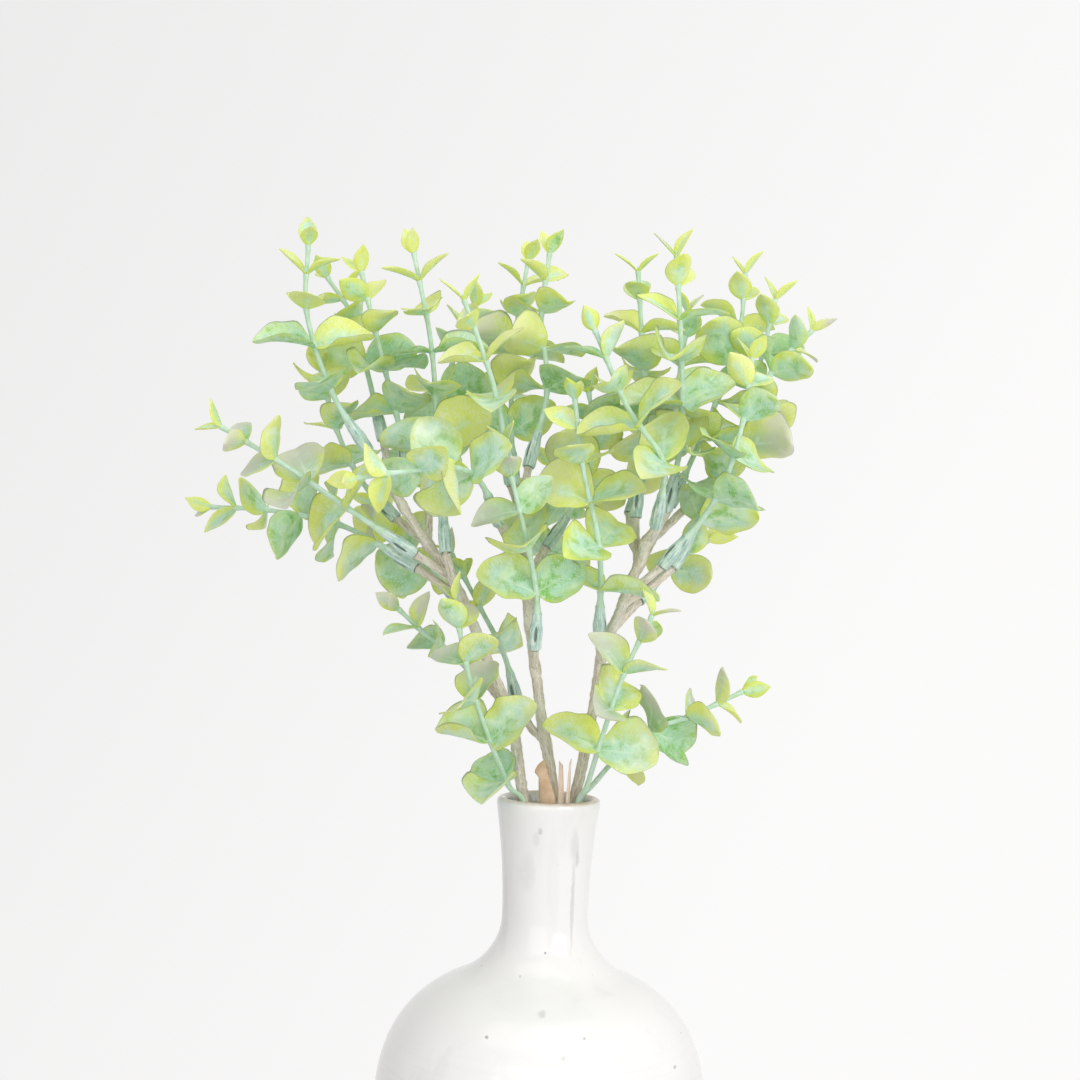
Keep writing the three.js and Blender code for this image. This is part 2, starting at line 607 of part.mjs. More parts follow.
// Every leaf takes the first move that keeps it clear of all that is already in place.
// Near its own stem only the blade beyond the root has to be clear.
function growLeaves(spray, number, placed) {
  const draw = drawsFrom(SEED_STEP * (number + 1));
  const leaves = [];
  spray.pairs.forEach((_, pair) => {
    for (const side of [0, 1]) {
      const nature = Array.from({ length: DRAWS_PER_LEAF }, draw);
      for (const move of MOVES) {
        const leaf = leafIn(spray, pair, side, nature, move);
        const whole = trialLeaf(leaf, 0);
        const blade = trialLeaf(leaf, OWN_ROOT);
        const free = placed.every((item) => {
          if (item.owner === spray.name) return !meets(blade, item.blade ?? item.shape);
          return !meets(whole, item.shape);
        });
        if (free) {
          leaves.push(leaf);
          placed.push({ owner: spray.name, shape: whole, blade });
          break;
        }
      }
    }
  });
  return leaves;
}

function sprayGeometry(spray) {
  const leafyStem = leafyStemGeometry(spray, spray.leaves);
  if (spray.tail) return leafyStem;
  const socket = toSolid(tube(socketStations(spray), SOCKET_SIDES));
  return toGeometry(toSolid(leafyStem).add(socket).subtract(toSolid(socketBore(spray))));
}

// Kraft paper strip and pale splinters of packing straw that stand in the mouth.
function flatStrip(corners, thickness) {
  const shape = new THREE.Shape(corners.map(([x, z]) => new THREE.Vector2(x, z)));
  const geometry = new THREE.ExtrudeGeometry(shape, { depth: thickness, bevelEnabled: false });
  geometry.rotateX(Math.PI / 2);
  return geometry;
}

const PAPER_OUTLINE = [[-3.4, 0], [3.2, 0], [4, 25], [1, 34], [-1.6, 44], [-5, 41], [-6.6, 37.5], [-4.4, 35]];

const LOOSE = [
  { name: 'paper_strip', slot: 'paper', outline: PAPER_OUTLINE,
    thickness: 0.7, at: [-0.5, -8.4, 201], lean: 3, yaw: -8 },
  { name: 'straw_wide', slot: 'straw', outline: [[-1.3, 0], [1.2, 0], [1.7, 30], [0.9, 44], [-1.1, 46]],
    thickness: 0.8, at: [5.6, -9.6, 198], lean: -1, yaw: 12 },
  { name: 'straw_thin', slot: 'straw', outline: [[-0.7, 0], [0.7, 0], [1, 28], [0.4, 44]],
    thickness: 0.8, at: [8.4, -8.2, 201], lean: 3, yaw: 30 },
  { name: 'straw_bent', slot: 'straw', outline: [[-0.8, 0], [0.7, 0], [2.2, 26], [3.6, 43], [2.4, 41]],
    thickness: 0.8, at: [7.6, -11.4, 203], lean: 2, yaw: -20 },
];

function looseGeometry(piece) {
  const geometry = flatStrip(piece.outline, piece.thickness);
  geometry.rotateX(radians(piece.lean));
  geometry.rotateZ(radians(piece.yaw));
  geometry.translate(...piece.at);
  return geometry;
}

// Everything that does not depend on the leaves is set out first, and the leaves keep clear of it.
const sprays = SPRAYS.map((spray) => ({ ...spray, curve: curveThrough(spray.route) }));
for (const spray of sprays) spray.pairs = pairDistances(spray);

const room = CLEARANCE / 2;
const placed = [];
function place(owner, geometry) {
  placed.push({ owner, shape: shapeOf(mergeVertices(geometry.clone(), WELD)) });
}

place('bottle', bottleGeometry);
for (const name of Object.keys(TRUNKS)) place(name, trunkGeometry(name, room));
for (const piece of LOOSE) place(piece.name, looseGeometry(piece));
for (const spray of sprays) {
  place(spray.name, leafyStemGeometry(spray, [], room));
  if (spray.tail) continue;
  place(spray.name, tube(socketStations(spray, room), SOCKET_SIDES));
  place(`${spray.name} twig`, twigGeometry(spray, room));
}
sprays.forEach((spray, number) => {
  spray.leaves = growLeaves(spray, number, placed);
});

function material(slot) {
  const [color, roughness] = COLOURS[slot];
  return new THREE.MeshStandardMaterial({ color, roughness, metalness: slot === 'wire' ? 0.8 : 0 });
}

const plant = new THREE.Group();
function addPiece(name, geometry, slot) {
  const mesh = new THREE.Mesh(geometry, material(slot));
  mesh.name = name;
  plant.add(mesh);
}

addPiece('bottle', bottleGeometry, 'glaze');
for (const name of Object.keys(TRUNKS)) {
  addPiece(`main_stem_${name}`, mainStem(name), 'bark');
  addPiece(`wire_core_${name}`, tube(wireStations(name, WIRE_RADIUS), WIRE_SIDES), 'wire');
}
for (const spray of sprays) addPiece(spray.name, sprayGeometry(spray), 'leaf');
for (const piece of LOOSE) addPiece(piece.name, looseGeometry(piece), piece.slot);

export default plant;
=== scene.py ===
"""A moulded eucalyptus branch in its glazed bottle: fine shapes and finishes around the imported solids."""

import math

import bpy
import numpy as np
from mathutils import Matrix, Vector
from mathutils.kdtree import KDTree


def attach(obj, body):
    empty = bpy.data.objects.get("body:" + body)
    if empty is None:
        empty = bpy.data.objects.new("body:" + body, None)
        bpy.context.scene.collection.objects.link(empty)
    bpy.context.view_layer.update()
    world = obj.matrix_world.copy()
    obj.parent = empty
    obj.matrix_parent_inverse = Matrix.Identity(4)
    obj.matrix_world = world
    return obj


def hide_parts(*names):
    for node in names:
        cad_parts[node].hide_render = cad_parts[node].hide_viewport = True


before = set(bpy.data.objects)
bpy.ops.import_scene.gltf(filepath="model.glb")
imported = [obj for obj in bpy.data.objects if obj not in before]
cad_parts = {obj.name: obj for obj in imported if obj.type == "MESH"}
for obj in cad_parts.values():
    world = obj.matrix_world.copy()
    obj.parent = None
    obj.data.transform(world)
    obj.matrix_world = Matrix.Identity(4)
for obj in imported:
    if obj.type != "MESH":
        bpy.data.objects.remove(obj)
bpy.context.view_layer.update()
MM = 0.001

# Bottle, in millimetres as all that follows
BOTTLE_TOP = 225.2
MOUTH_RADIUS = 25
THROAT_RADIUS = 20.8
BELLY_RADIUS = 79.8
BELLY_HEIGHT = 78
FOOT_RADIUS = 50
FOOT_INSET = 4
WALL = 4.8
FLOOR = 6.5

# Main stems, twigs and wires
STEM_FOOT_RADIUS = 2.9
STEM_TOP_RADIUS = 2.2
TWIG_RADIUS = 2.1
WIRE_RADIUS = 0.8
WIRE_BORE_RADIUS = 1.25
WIRE_REACH = 0.75

# Sockets and pegs
SOCKET_LENGTH = 17
SOCKET_RADIUS = 3.4
SOCKET_NECK_RADIUS = 2.3
SOCKET_BORE_RADIUS = 2.15
SOCKET_BORE_DEPTH = 8.5
PEG_RADIUS = 1.45
PEG_LENGTH = 7.5
PEG_SHOULDER_GAP = 0.5

# Leafy stems
SPRAY_ROOT_RADIUS = 1.45
SPRAY_TIP_RADIUS = 1.05
BUD_LENGTH = 3
FIRST_GAP = 13.5
GAP_GROWTH = 2.7
LARGEST_GAP = 22.5
BARE_ABOVE_SOCKET = 5
BACKWARD_REACH = 30

# Leaves, from the tip pair downwards
TIP_LEAF = 14.5
LEAF_GROWTH = 4.2
LARGEST_LEAF = 27.5
TIP_RATIO = 0.56
RATIO_GROWTH = 0.13
LARGEST_RATIO = 0.92
WIDEST_BIAS = 0.85
TIP_TILT = 34
TILT_GROWTH = 15
LARGEST_TILT = 68
SMALLEST_TILT = 24
LOOSE_TURN = 24
LOOSE_TILT = 30
LOOSE_ROLL = 70
FRONT = (0.15, -1, 0.1)
OPENING = 0.55
LOOSE_SIZE = 0.16
TIP_LOOSENESS = 0.4
LOOSENESS_GROWTH = 0.3
TIP_CURL = -0.1
CURL_GROWTH = 0.1
CURL_PAIRS = 3
LOOSE_CURL = 0.5
CUP = 0.15
LOOSE_CUP = 0.25
LOOSE_TWIST = 0.5
DRAWS_PER_LEAF = 7
SEED_STEP = 7919
BLADE = 0.8

# Fine leaves, and the points round each fine piece
LEAF_LENGTHS = 22
LEAF_WIDTHS = 12
LEAF_THICKNESS = 0.6
PETIOLE_HALF = 0.75
STEM_SIDES = 16
SOCKET_SIDES = 30
TRUNK_SIDES = 26
TWIG_SIDES = 20
WIRE_SIDES = 10
BOTTLE_SIDES = 288

TRUNKS = {
    "left": [[34, 18, 7.6], [17, 9, 90], [0, -4, 168], [-12, -3, 224], [-19, -4, 262], [-29, -5, 285],
             [-41, -4, 312], [-51, -2, 331], [-61, 0, 344], [-73, 4, 360], [-81, 8, 373], [-86, 12, 385]],
    "centre": [[14, -36, 7.6], [12, -17, 90], [8, -2, 168], [2, -2, 229], [-4, -5, 260], [-7, -6, 279],
               [-10, -8, 297], [-13, -8, 316], [-15, -8, 335], [-16, -6, 349], [-17, -2, 369]],
    "right": [[-32, 14, 7.6], [-14, 9, 90], [1, 6, 168], [13, 4, 225], [20, 5, 265], [23, 4, 290],
              [26, 3, 302], [32, 2, 317], [37, 0, 332], [41, -2, 341], [43, -4, 351]],
}

# Name, main stem, height where it leaves that stem, roll in degrees, and points of its route
SPRAYS = [
    ("front", "centre", 338, 20,
     [[-28, -18, 357], [-37, -40, 376], [-49, -66, 381], [-66, -84, 378], [-88, -92, 374]]),
    ("rim_right", None, 0, 80,
     [[10, -8, 178], [13.5, -9, 221], [18, -14, 233], [23, -26, 254], [32, -34, 286], [45, -36, 316]]),
    ("rim_left", None, 0, 60,
     [[-5, -9, 172], [-11.5, -9.5, 221], [-20, -13, 233], [-34, -26, 268], [-42, -30, 295], [-47, -30, 320]]),
    ("rim_far_right", None, 0, 20,
     [[10, 5, 178], [14.5, -2.5, 221], [22, -2, 233], [43, -6, 257], [67, -4, 267], [92, 0, 279]]),
    ("right_arch", "right", 351, 80,
     [[47, -10, 358], [49, -24, 376], [47, -36, 390], [30, -46, 412], [14, -50, 446]]),
    ("centre_right", "right", 292, 65, [[22, -7, 302], [20, -26, 346], [11, -34, 383], [6, -38, 415]]),
    ("centre_low", "centre", 288, 90, [[-9, -17, 298], [-9, -28, 325], [-17, -38, 359], [-26, -42, 391]]),
    ("left_long", "left", 330, 60, [[-68, -8, 341], [-99, -16, 361], [-130, -22, 381], [-160, -24, 398]]),
    ("left_tall", "left", 364, 5, [[-93, 4, 390], [-111, -4, 418], [-123, -12, 454], [-123, -16, 486]]),
    ("top_right", "right", 346, 85, [[53, 3, 366], [58, -8, 400], [56, -20, 440], [52, -24, 485]]),
    ("top_left", "left", 322, 5, [[-53, -10, 342], [-58, 0, 382], [-64, 6, 441], [-74, 4, 487]]),
    ("right_hooked", "right", 326, 40, [[51, -7, 339], [75, -16, 372], [86, -18, 407], [90, -14, 439]]),
    ("centre_left", "centre", 362, 90,
     [[-23, -14, 376], [-30, -24, 413], [-37, -30, 435], [-47, -34, 460]]),
    ("left_inner", "left", 371, 45, [[-75, 18, 380], [-80, 18, 405], [-91, 14, 444], [-100, 12, 478]]),
    ("top_centre", "centre", 369, 40, [[-15, 8, 385], [-7, 20, 424], [-11, 28, 460], [-8, 30, 493]]),
    ("top_inner_right", "right", 338, 80, [[38, 6, 362], [42, 14, 413], [39, 16, 450], [36, 14, 483]]),
    ("far_left", "left", 318, 30, [[-68, 8, 334], [-105, 20, 353], [-143, 32, 360], [-175, 40, 361]]),
    ("far_right", "right", 320, 50, [[57, 6, 338], [87, 22, 392], [104, 30, 435], [125, 32, 459]]),
    ("right_tall", "right", 349, 60, [[64, 26, 368], [88, 40, 399], [101, 50, 441], [109, 54, 477]]),
    ("left_behind", "left", 378, 5, [[-88, 26, 397], [-98, 34, 432], [-107, 38, 460], [-120, 40, 479]]),
    ("low_left", "centre", 252, 70, [[-16, 6, 267], [-24, 18, 292], [-37, 26, 315], [-52, 30, 341]]),
    ("middle_behind", "centre", 330, 30, [[-5, 4, 346], [8, 12, 368], [18, 22, 396], [14, 30, 424]]),
    ("top_behind", "centre", 350, 10, [[-22, 32, 376], [-25, 46, 415], [-24, 56, 455], [-19, 60, 494]]),
    ("right_behind", "right", 332, 62, [[57, 34, 369], [75, 50, 410], [91, 60, 457], [94, 62, 491]]),
    ("right_small", "right", 306, 35, [[42, 20, 321], [54, 32, 334], [66, 44, 343], [78, 52, 352]]),
    ("left_low", "left", 262, 25, [[-31, 6, 278], [-45, 6, 290], [-61, 2, 301], [-75, -6, 314]]),
    ("left_small", "left", 346, 40, [[-80, 24, 358], [-99, 30, 377], [-112, 30, 402], [-120, 26, 430]]),
    ("back_left_low", "left", 296, 20, [[-46, 16, 318], [-75, 48, 340], [-96, 84, 366]]),
    ("back_left_high", "left", 346, 65, [[-64, 22, 368], [-68, 44, 402], [-58, 60, 436], [-46, 64, 470]]),
    ("back_centre", "centre", 308, 35, [[-10, 14, 322], [-6, 54, 352], [-4, 96, 390]]),
    ("back_right_high", "right", 341, 15, [[36, 24, 364], [50, 52, 400], [62, 72, 438], [66, 78, 472]]),
]

# No socket: a bare stem of this length slips down the neck beside the main stems.
BARE_TAILS = {"rim_right": 58, "rim_left": 60, "rim_far_right": 62}

# The share of a spray's leaves with a grey bloom, where it is more than usual
USUAL_DUSTY = 0.03
DUSTY = {
    "rim_right": 0.1, "rim_left": 0.3, "rim_far_right": 0.3, "centre_low": 0.12, "left_long": 0.2,
    "far_left": 0.3, "far_right": 0.25, "right_tall": 0.2, "low_left": 0.2, "left_low": 0.3,
}

# The steps that a leaf was moved by to stand clear: degrees of turn, degrees of lift, share of its size.
MOVES = [
    (0, 0, 1), (12, 0, 1), (-12, 0, 1), (0, -14, 1), (0, 12, 1), (22, -10, 0.96), (-22, -10, 0.96),
    (20, 12, 0.92), (-20, 12, 0.92), (0, -26, 0.9), (0, 24, 0.88), (34, 0, 0.85), (-34, 0, 0.85),
    (16, -32, 0.8), (-16, -32, 0.8), (16, 28, 0.75), (-16, 28, 0.75), (44, -18, 0.7), (-44, -18, 0.7),
    (0, -40, 0.62), (30, 20, 0.6), (-30, 20, 0.6), (0, 0, 0.52), (26, -24, 0.46), (-26, -24, 0.46),
]


def unit(vectors):
    return vectors / np.linalg.norm(vectors, axis=-1, keepdims=True)


def smooth(value, low, high):
    """0 below low, 1 above high and an easy slope between them."""
    share = np.clip((value - low) / (high - low), 0, 1)
    return share * share * (3 - 2 * share)


class Curve:
    """A smooth curve through points, whose length is measured in short steps."""

    STEPS = 200

    def __init__(self, points):
        points = np.array(points, float)
        before = 2 * points[0] - points[1]
        after = 2 * points[-1] - points[-2]
        self.spans = len(points) - 1
        self.points = np.vstack([before, points, after])
        marks = self.at(np.linspace(0, 1, self.STEPS + 1))
        self.lengths = np.concatenate([[0], np.cumsum(np.linalg.norm(np.diff(marks, axis=0), axis=1))])
        self.length = self.lengths[-1]

    def at(self, share):
        """Points at these shares of the way through the curve's points."""
        place = np.clip(np.asarray(share, float), 0, 1) * self.spans
        span = np.minimum(place.astype(int), self.spans - 1)
        w = (place - span)[..., None]
        a, b, c, d = (self.points[span + k] for k in range(4))
        leave = (c - a) / 2
        arrive = (d - b) / 2
        return b + w * (leave + w * (3 * (c - b) - 2 * leave - arrive + w * (2 * (b - c) + leave + arrive)))

    def share_at(self, distance):
        return np.interp(distance, self.lengths, np.linspace(0, 1, self.STEPS + 1))

    def place(self, distance):
        """Points and headings at these distances, straight on past either end."""
        distance = np.asarray(distance, float)
        inside = np.clip(distance, 0, self.length)
        share = self.share_at(inside)
        heading = unit(self.at(np.minimum(1, share + 1e-4)) - self.at(np.maximum(0, share - 1e-4)))
        return self.at(share) + (distance - inside)[..., None] * heading, heading


def draws_from(seed):
    """A repeatable stream of numbers from 0 to 1, the same as in the part's source."""
    state = seed
    while True:
        state = (1664525 * state + 1013904223) % 4294967296
        yield state / 4294967296


# Meshes

def placed(name, data):
    """A new object in the scene."""
    made = bpy.data.objects.new(name, data)
    bpy.context.scene.collection.objects.link(made)
    return made


def make_piece(node, skins, finishes):
    """A smooth mesh from skins in millimetres, which takes the place of one solid.

    A skin is the number of its finish, its points, its faces and its marks, which are numbers or
    vectors kept for each point. A mark that a skin lacks is 0 on it.
    """
    mesh = bpy.data.meshes.new(f"{node}_fine")
    faces = []
    which = []
    count = 0
    for number, points, skin_faces, _ in skins:
        faces += [[corner + count for corner in face] for face in skin_faces]
        which += [number] * len(skin_faces)
        count += len(points)
    mesh.from_pydata((np.vstack([points for _, points, _, _ in skins]) * MM).tolist(), [], faces)
    for finish in finishes:
        mesh.materials.append(finish)
    mesh.polygons.foreach_set("material_index", np.array(which, np.int32))
    mesh.polygons.foreach_set("use_smooth", np.ones(len(faces), bool))
    for mark in sorted({mark for _, _, _, marks in skins for mark in marks}):
        vector = mark == "straight"
        kept = mesh.attributes.new(mark, "FLOAT_VECTOR" if vector else "FLOAT", "POINT")
        values = np.concatenate([marks.get(mark, np.zeros(len(points))) for _, points, _, marks in skins])
        kept.data.foreach_set("vector" if vector else "value", values.astype(np.float32).ravel())
    mesh.update()
    piece = placed(f"{node}_fine", mesh)
    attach(piece, "root")
    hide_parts(node)


def ring_faces(rings, sides):
    """Faces of a skin of closed rings, one after the other, with a point at each end."""
    ring = sides * np.arange(rings - 1)[:, None]
    k = np.arange(sides)
    after = (k + 1) % sides
    quads = np.stack([ring + k, ring + after, ring + sides + after, ring + sides + k], -1).reshape(-1, 4)
    centre = np.full(sides, rings * sides)
    last = centre - sides
    return (quads.tolist() + np.stack([centre, after, k], 1).tolist()
            + np.stack([centre + 1, last + k, last + after], 1).tolist())


def around(sides):
    return 2 * np.pi * np.arange(sides) / sides


def skin(curve, reach, radii, angle, sideways=None, bumps=None, finish=0, shift=0, **marks):
    """A skin of rings round a curve, closed by a point at each end.

    reach is each ring's distance along the curve, angle the angles of its points, and sideways gives
    two directions across the curve. bumps changes a radius from the distance and the angle. The mark
    straight is each point's place if the curve were straight, moved along it by shift.
    """
    reach = np.asarray(reach, float)
    centre, heading = curve.place(reach)
    right, up = (sideways or across_flattest(curve))(heading)
    radius = np.repeat(np.asarray(radii, float)[:, None], len(angle), 1)
    if bumps:
        radius = radius + bumps(reach[:, None], angle[None, :])
    x = radius * np.cos(angle)
    y = radius * np.sin(angle)
    ring = centre[:, None] + x[..., None] * right[:, None] + y[..., None] * up[:, None]
    points = np.vstack([ring.reshape(-1, 3), centre[:1], centre[-1:]])
    straight = np.stack([x, y, np.broadcast_to(reach[:, None], x.shape)], -1).reshape(-1, 3)
    ends = [[0, 0, reach[0]], [0, 0, reach[-1]]]
    marks["straight"] = np.vstack([straight, ends]) + [0, 0, shift]
    return finish, points, ring_faces(len(reach), len(angle)), marks


def across_flattest(curve):
    """Two directions across a curve, measured from the axis that it runs along least."""
    chord = np.abs(curve.at(1.0) - curve.at(0.0))
    reference = np.zeros(3)
    reference[int(np.argmin(chord))] = 1

    def sideways(heading):
        right = unit(np.cross(np.broadcast_to(reference, heading.shape), heading))
        return right, unit(np.cross(heading, right))
    return sideways


# Finishes

class Signal:
    """One output of a node. Sums, products and comparisons of signals add their own nodes."""

    def __init__(self, nodes, socket):
        self.nodes = nodes
        self.socket = socket

    def worked(self, operation, first, second=0.0):
        return self.nodes.add("Math", {0: first, 1: second}, operation=operation)

    def __add__(self, other):
        return self.worked("ADD", self, other)

    def __sub__(self, other):
        return self.worked("SUBTRACT", self, other)

    def __rsub__(self, other):
        return self.worked("SUBTRACT", other, self)

    def __mul__(self, other):
        return self.worked("MULTIPLY", self, other)

    def __abs__(self):
        return self.worked("ABSOLUTE", self)

    __radd__ = __add__
    __rmul__ = __mul__

    def at_most(self, other):
        return self.worked("MINIMUM", self, other)

    def at_least(self, other):
        return self.worked("MAXIMUM", self, other)

    def between(self, low, high, start=0.0, end=1.0):
        """An easy slope from start, where the signal is low, to end, where it is high."""
        inputs = {0: self, 1: low, 2: high, 3: start, 4: end}
        return self.nodes.add("MapRange", inputs, interpolation_type="SMOOTHSTEP")


class Nodes:
    """The nodes of a finish or of the room, added by short expressions."""

    def __init__(self, tree):
        self.tree = tree

    def add(self, kind, inputs=None, output=0, **settings):
        made = self.tree.nodes.new(f"ShaderNode{kind}")
        for name, value in settings.items():
            setattr(made, name, value)
        for name, value in (inputs or {}).items():
            self.feed(made.inputs[name], value)
        return Signal(self, made.outputs[output])

    def feed(self, socket, value):
        if isinstance(value, Signal):
            self.tree.links.new(value.socket, socket)
        elif isinstance(value, tuple) and socket.type == "RGBA":
            socket.default_value = (*value, 1)
        else:
            socket.default_value = value

    def parts(self, place):
        """The three coordinates of a place, each as a signal."""
        return [self.add("SeparateXYZ", {0: place}, k) for k in range(3)]

    def vector(self, operation, first, second=(0, 0, 0), output=0):
        return self.add("VectorMath", {0: first, 1: second}, output, operation=operation)


class Finish(Nodes):
    """A material whose shader is fed by signals."""

    def __init__(self, name, **plain):
        self.material = bpy.data.materials.new(name)
        self.material.use_nodes = True
        super().__init__(self.material.node_tree)
        self.shader = self.tree.nodes["Principled BSDF"]
        for socket, value in plain.items():
            self.shader.inputs[socket.replace("_", " ")].default_value = value

    def wear(self, colour, roughness, height, depth, strength):
        """The finished material. The height of its bumps is from 0 to 1 and their depth in metres."""
        self.feed(self.shader.inputs["Base Color"], colour)
        self.feed(self.shader.inputs["Roughness"], roughness)
        bump = self.add("Bump", {"Height": height, "Distance": depth, "Strength": strength})
        self.feed(self.shader.inputs["Normal"], bump)
        return self.material

    def place(self):
        return self.add("TexCoord", output="Object")

    def mark(self, name, output="Fac"):
        return self.add("Attribute", output=output, attribute_name=name)

    def straight(self):
        """A point's place if its stem or leaf were straight and flat, in millimetres."""
        return self.mark("straight", "Vector")

    def joined(self, x, y, z):
        return self.add("CombineXYZ", {0: x, 1: y, 2: z})

    def cloud(self, place, scale, detail=3.0, roughness=0.5, distortion=0.0):
        """Soft noise from 0 to 1. scale is in lumps for each unit of the place."""
        inputs = {"Vector": place, "Scale": scale, "Detail": detail, "Roughness": roughness,
                  "Distortion": distortion}
        return self.add("TexNoise", inputs)

    def streaks(self, place, pull, *shape):
        """A cloud drawn out upwards: pull is its scale that way, as a share."""
        return self.cloud(self.vector("MULTIPLY", place, (1, 1, pull)), *shape)

    def mixed(self, share, first, second):
        """first where share is 0 and second where it is 1."""
        return self.add("Mix", {0: share, 6: first, 7: second}, 2, data_type="RGBA")

    def layered(self, ground, *layers):
        """A colour under layers. Each has a signal, where it is none and full, its strength and its shade."""
        colour = ground if isinstance(ground, Signal) else shade(*ground)
        for signal, none, full, strength, tint in layers:
            colour = self.mixed(signal.between(none, full) * strength, colour, shade(*tint))
        return colour


def shade(red, green, blue):
    """A colour as it is seen on a screen, each part from 0 to 255, for a shader."""
    def part(value):
        value /= 255
        return value / 12.92 if value <= 0.04045 else ((value + 0.055) / 1.055) ** 2.4
    return part(red), part(green), part(blue)


MINT = shade(200, 227, 184)
BLUE_MINT = shade(174, 218, 196)
DEEP_GREEN = shade(120, 186, 82)
SAGE = shade(178, 203, 172)
LIME = shade(205, 219, 74)
PALE_LIME = shade(225, 231, 116)
BLOOM = shade(232, 240, 228)
LILAC_GREY = shade(206, 204, 198)
EDGE_GREEN = shade(126, 158, 112)


def leaf_finish():
    """Blue-green leaf, yellow-green to its edges, washed over with whitish fibres and patches."""
    finish = Finish("leaf", Roughness=0.5, Subsurface_Weight=0.2, Subsurface_Radius=(0.9, 1.0, 0.3),
                    Subsurface_Scale=0.0015, Specular_IOR_Level=0.4)
    place = finish.place()
    along = finish.mark("along")
    side = abs(finish.mark("across"))
    ripeness = finish.mark("ripeness")
    dust = finish.mark("dust")
    patch = finish.cloud(place, 75, 4, 0.6, 0.8)
    wash = finish.cloud(place, 130, 3, 0.55, 0.4)
    spot = finish.cloud(place, 600, 3, 0.65)
    size = finish.mark("size")
    x, y, z = finish.parts(finish.straight())
    outward = x - abs(y) * 0.7
    fibre = finish.cloud(finish.joined(outward * 2.2, y * 0.45, z), 1.0, 3, 0.7, 0.3)
    weave = finish.cloud(finish.joined((x + y) * 0.5, (x - y) * 2.4, z), 1.0, 3, 0.7, 0.3)
    green = finish.mixed(patch.between(0.42, 0.58), MINT, BLUE_MINT)
    green = finish.mixed(dust.between(0.3, 0.6), green, SAGE)
    deep = (wash.between(0.48, 0.66) * 0.85 + ripeness.between(0.4, 0.0) * 0.4).at_most(1)
    green = finish.mixed(deep * spot.between(0.2, 0.55), green, DEEP_GREEN)
    young = size.between(0.8, 0.45)
    margin = side.at_least(along.between(0.5, 1.05)) + (wash - 0.5) * 0.9 + (ripeness - 0.5) * 1.2
    margin = margin + young * 0.3
    yellow = finish.mixed((spot * 0.6 + ripeness * 0.5).between(0.4, 0.8), LIME, PALE_LIME)
    colour = finish.mixed(margin.between(0.26, 1.0) * 0.92, green, yellow)
    bloom = fibre.between(0.48, 0.64).at_least(weave.between(0.52, 0.68)) * patch.between(0.34, 0.6) * 0.6
    washed = wash.between(0.44, 0.34) * side.between(0.95, 0.6) * 0.45
    colour = finish.mixed(bloom.at_least(washed) * young.between(0, 1, 1, 0.5), colour, BLOOM)
    grey = dust * (along + (wash - 0.5) * 1.4).between(0.2, 0.85)
    colour = finish.mixed(grey * spot.between(0.2, 0.6, 0.5, 0.9), colour, LILAC_GREY)
    midrib = side.between(0.08, 0.02) * along.between(0.75, 0.3)
    colour = finish.mixed(midrib * 0.35, colour, BLOOM)
    colour = finish.mixed(side.between(0.95, 0.99) * size.between(0.55, 0.9) * 0.5, colour, EDGE_GREEN)
    height = fibre * 0.5 + weave * 0.3 + spot * 0.6 - midrib * 0.5
    return finish.wear(colour, wash.between(0.2, 0.8, 0.44, 0.62), height, 0.0002, 0.5)


def stem_finish():
    """Pale mint moulded stem with fine whitish lines along it, a little greener in blotches."""
    finish = Finish("green_stem", Roughness=0.5, Specular_IOR_Level=0.4)
    blotch = finish.cloud(finish.place(), 230, 3, 0.6)
    lines = finish.streaks(finish.straight(), 0.15, 1.6, 3, 0.7)
    colour = finish.layered((192, 220, 204), (blotch, 0.35, 0.65, 1, (180, 211, 176)),
                            (lines, 0.45, 0.7, 0.6, (224, 236, 226)))
    return finish.wear(colour, lines.between(0.2, 0.8, 0.42, 0.6), lines, 0.0002, 0.6)


def socket_finish():
    """Grey blue-green socket with whitish streaks and dark grooves along it, with painted shade darkest in
    its slots.
    """
    finish = Finish("socket", Roughness=0.55, Specular_IOR_Level=0.35)
    slot = finish.mark("slot_depth")
    blotch = finish.cloud(finish.place(), 260, 4, 0.65)
    ribs = finish.streaks(finish.straight(), 0.1, 0.95, 3, 0.7)
    lines = finish.streaks(finish.straight(), 0.16, 2.4, 3, 0.75)
    # The last layer is painted shade, darkest where the slots are deepest.
    colour = finish.layered(
        (176, 205, 198), (blotch, 0.38, 0.62, 1, (196, 219, 206)), (ribs, 0.5, 0.66, 0.85, (238, 244, 241)),
        (ribs, 0.46, 0.33, 0.75, (110, 142, 134)), (lines, 0.45, 0.3, 0.5, (120, 150, 138)),
        (slot, 0.3, 0.8, 0.85, (84, 100, 90)))
    return finish.wear(colour, blotch.between(0.3, 0.7, 0.45, 0.65), ribs + lines * 0.4, 0.0005, 0.8)


def bark_finish():
    """Beige moulded bark with whitish flecks, brown cracks along it and a tinge of green."""
    finish = Finish("bark", Roughness=0.72, Specular_IOR_Level=0.3)
    patch = finish.cloud(finish.place(), 60, 3, 0.6)
    fleck = finish.cloud(finish.place(), 1100, 3, 0.7)
    streak = finish.streaks(finish.straight(), 0.16, 0.9, 4, 0.72, 0.5)
    crack = finish.streaks(finish.straight(), 0.1, 2.2, 3, 0.7, 0.4)
    colour = finish.layered(
        (214, 203, 187), (patch, 0.38, 0.62, 1, (220, 213, 198)), (streak, 0.5, 0.62, 0.85, (240, 236, 228)),
        (streak, 0.46, 0.34, 0.7, (166, 150, 132)), (crack, 0.42, 0.32, 0.7, (136, 120, 102)),
        (fleck, 0.55, 0.66, 0.65, (242, 239, 233)), (patch, 0.56, 0.7, 0.3, (180, 196, 166)))
    height = streak * 0.8 + crack * 0.5 + fleck * 0.25
    return finish.wear(colour, fleck.between(0.2, 0.8, 0.62, 0.84), height, 0.0007, 0.85)


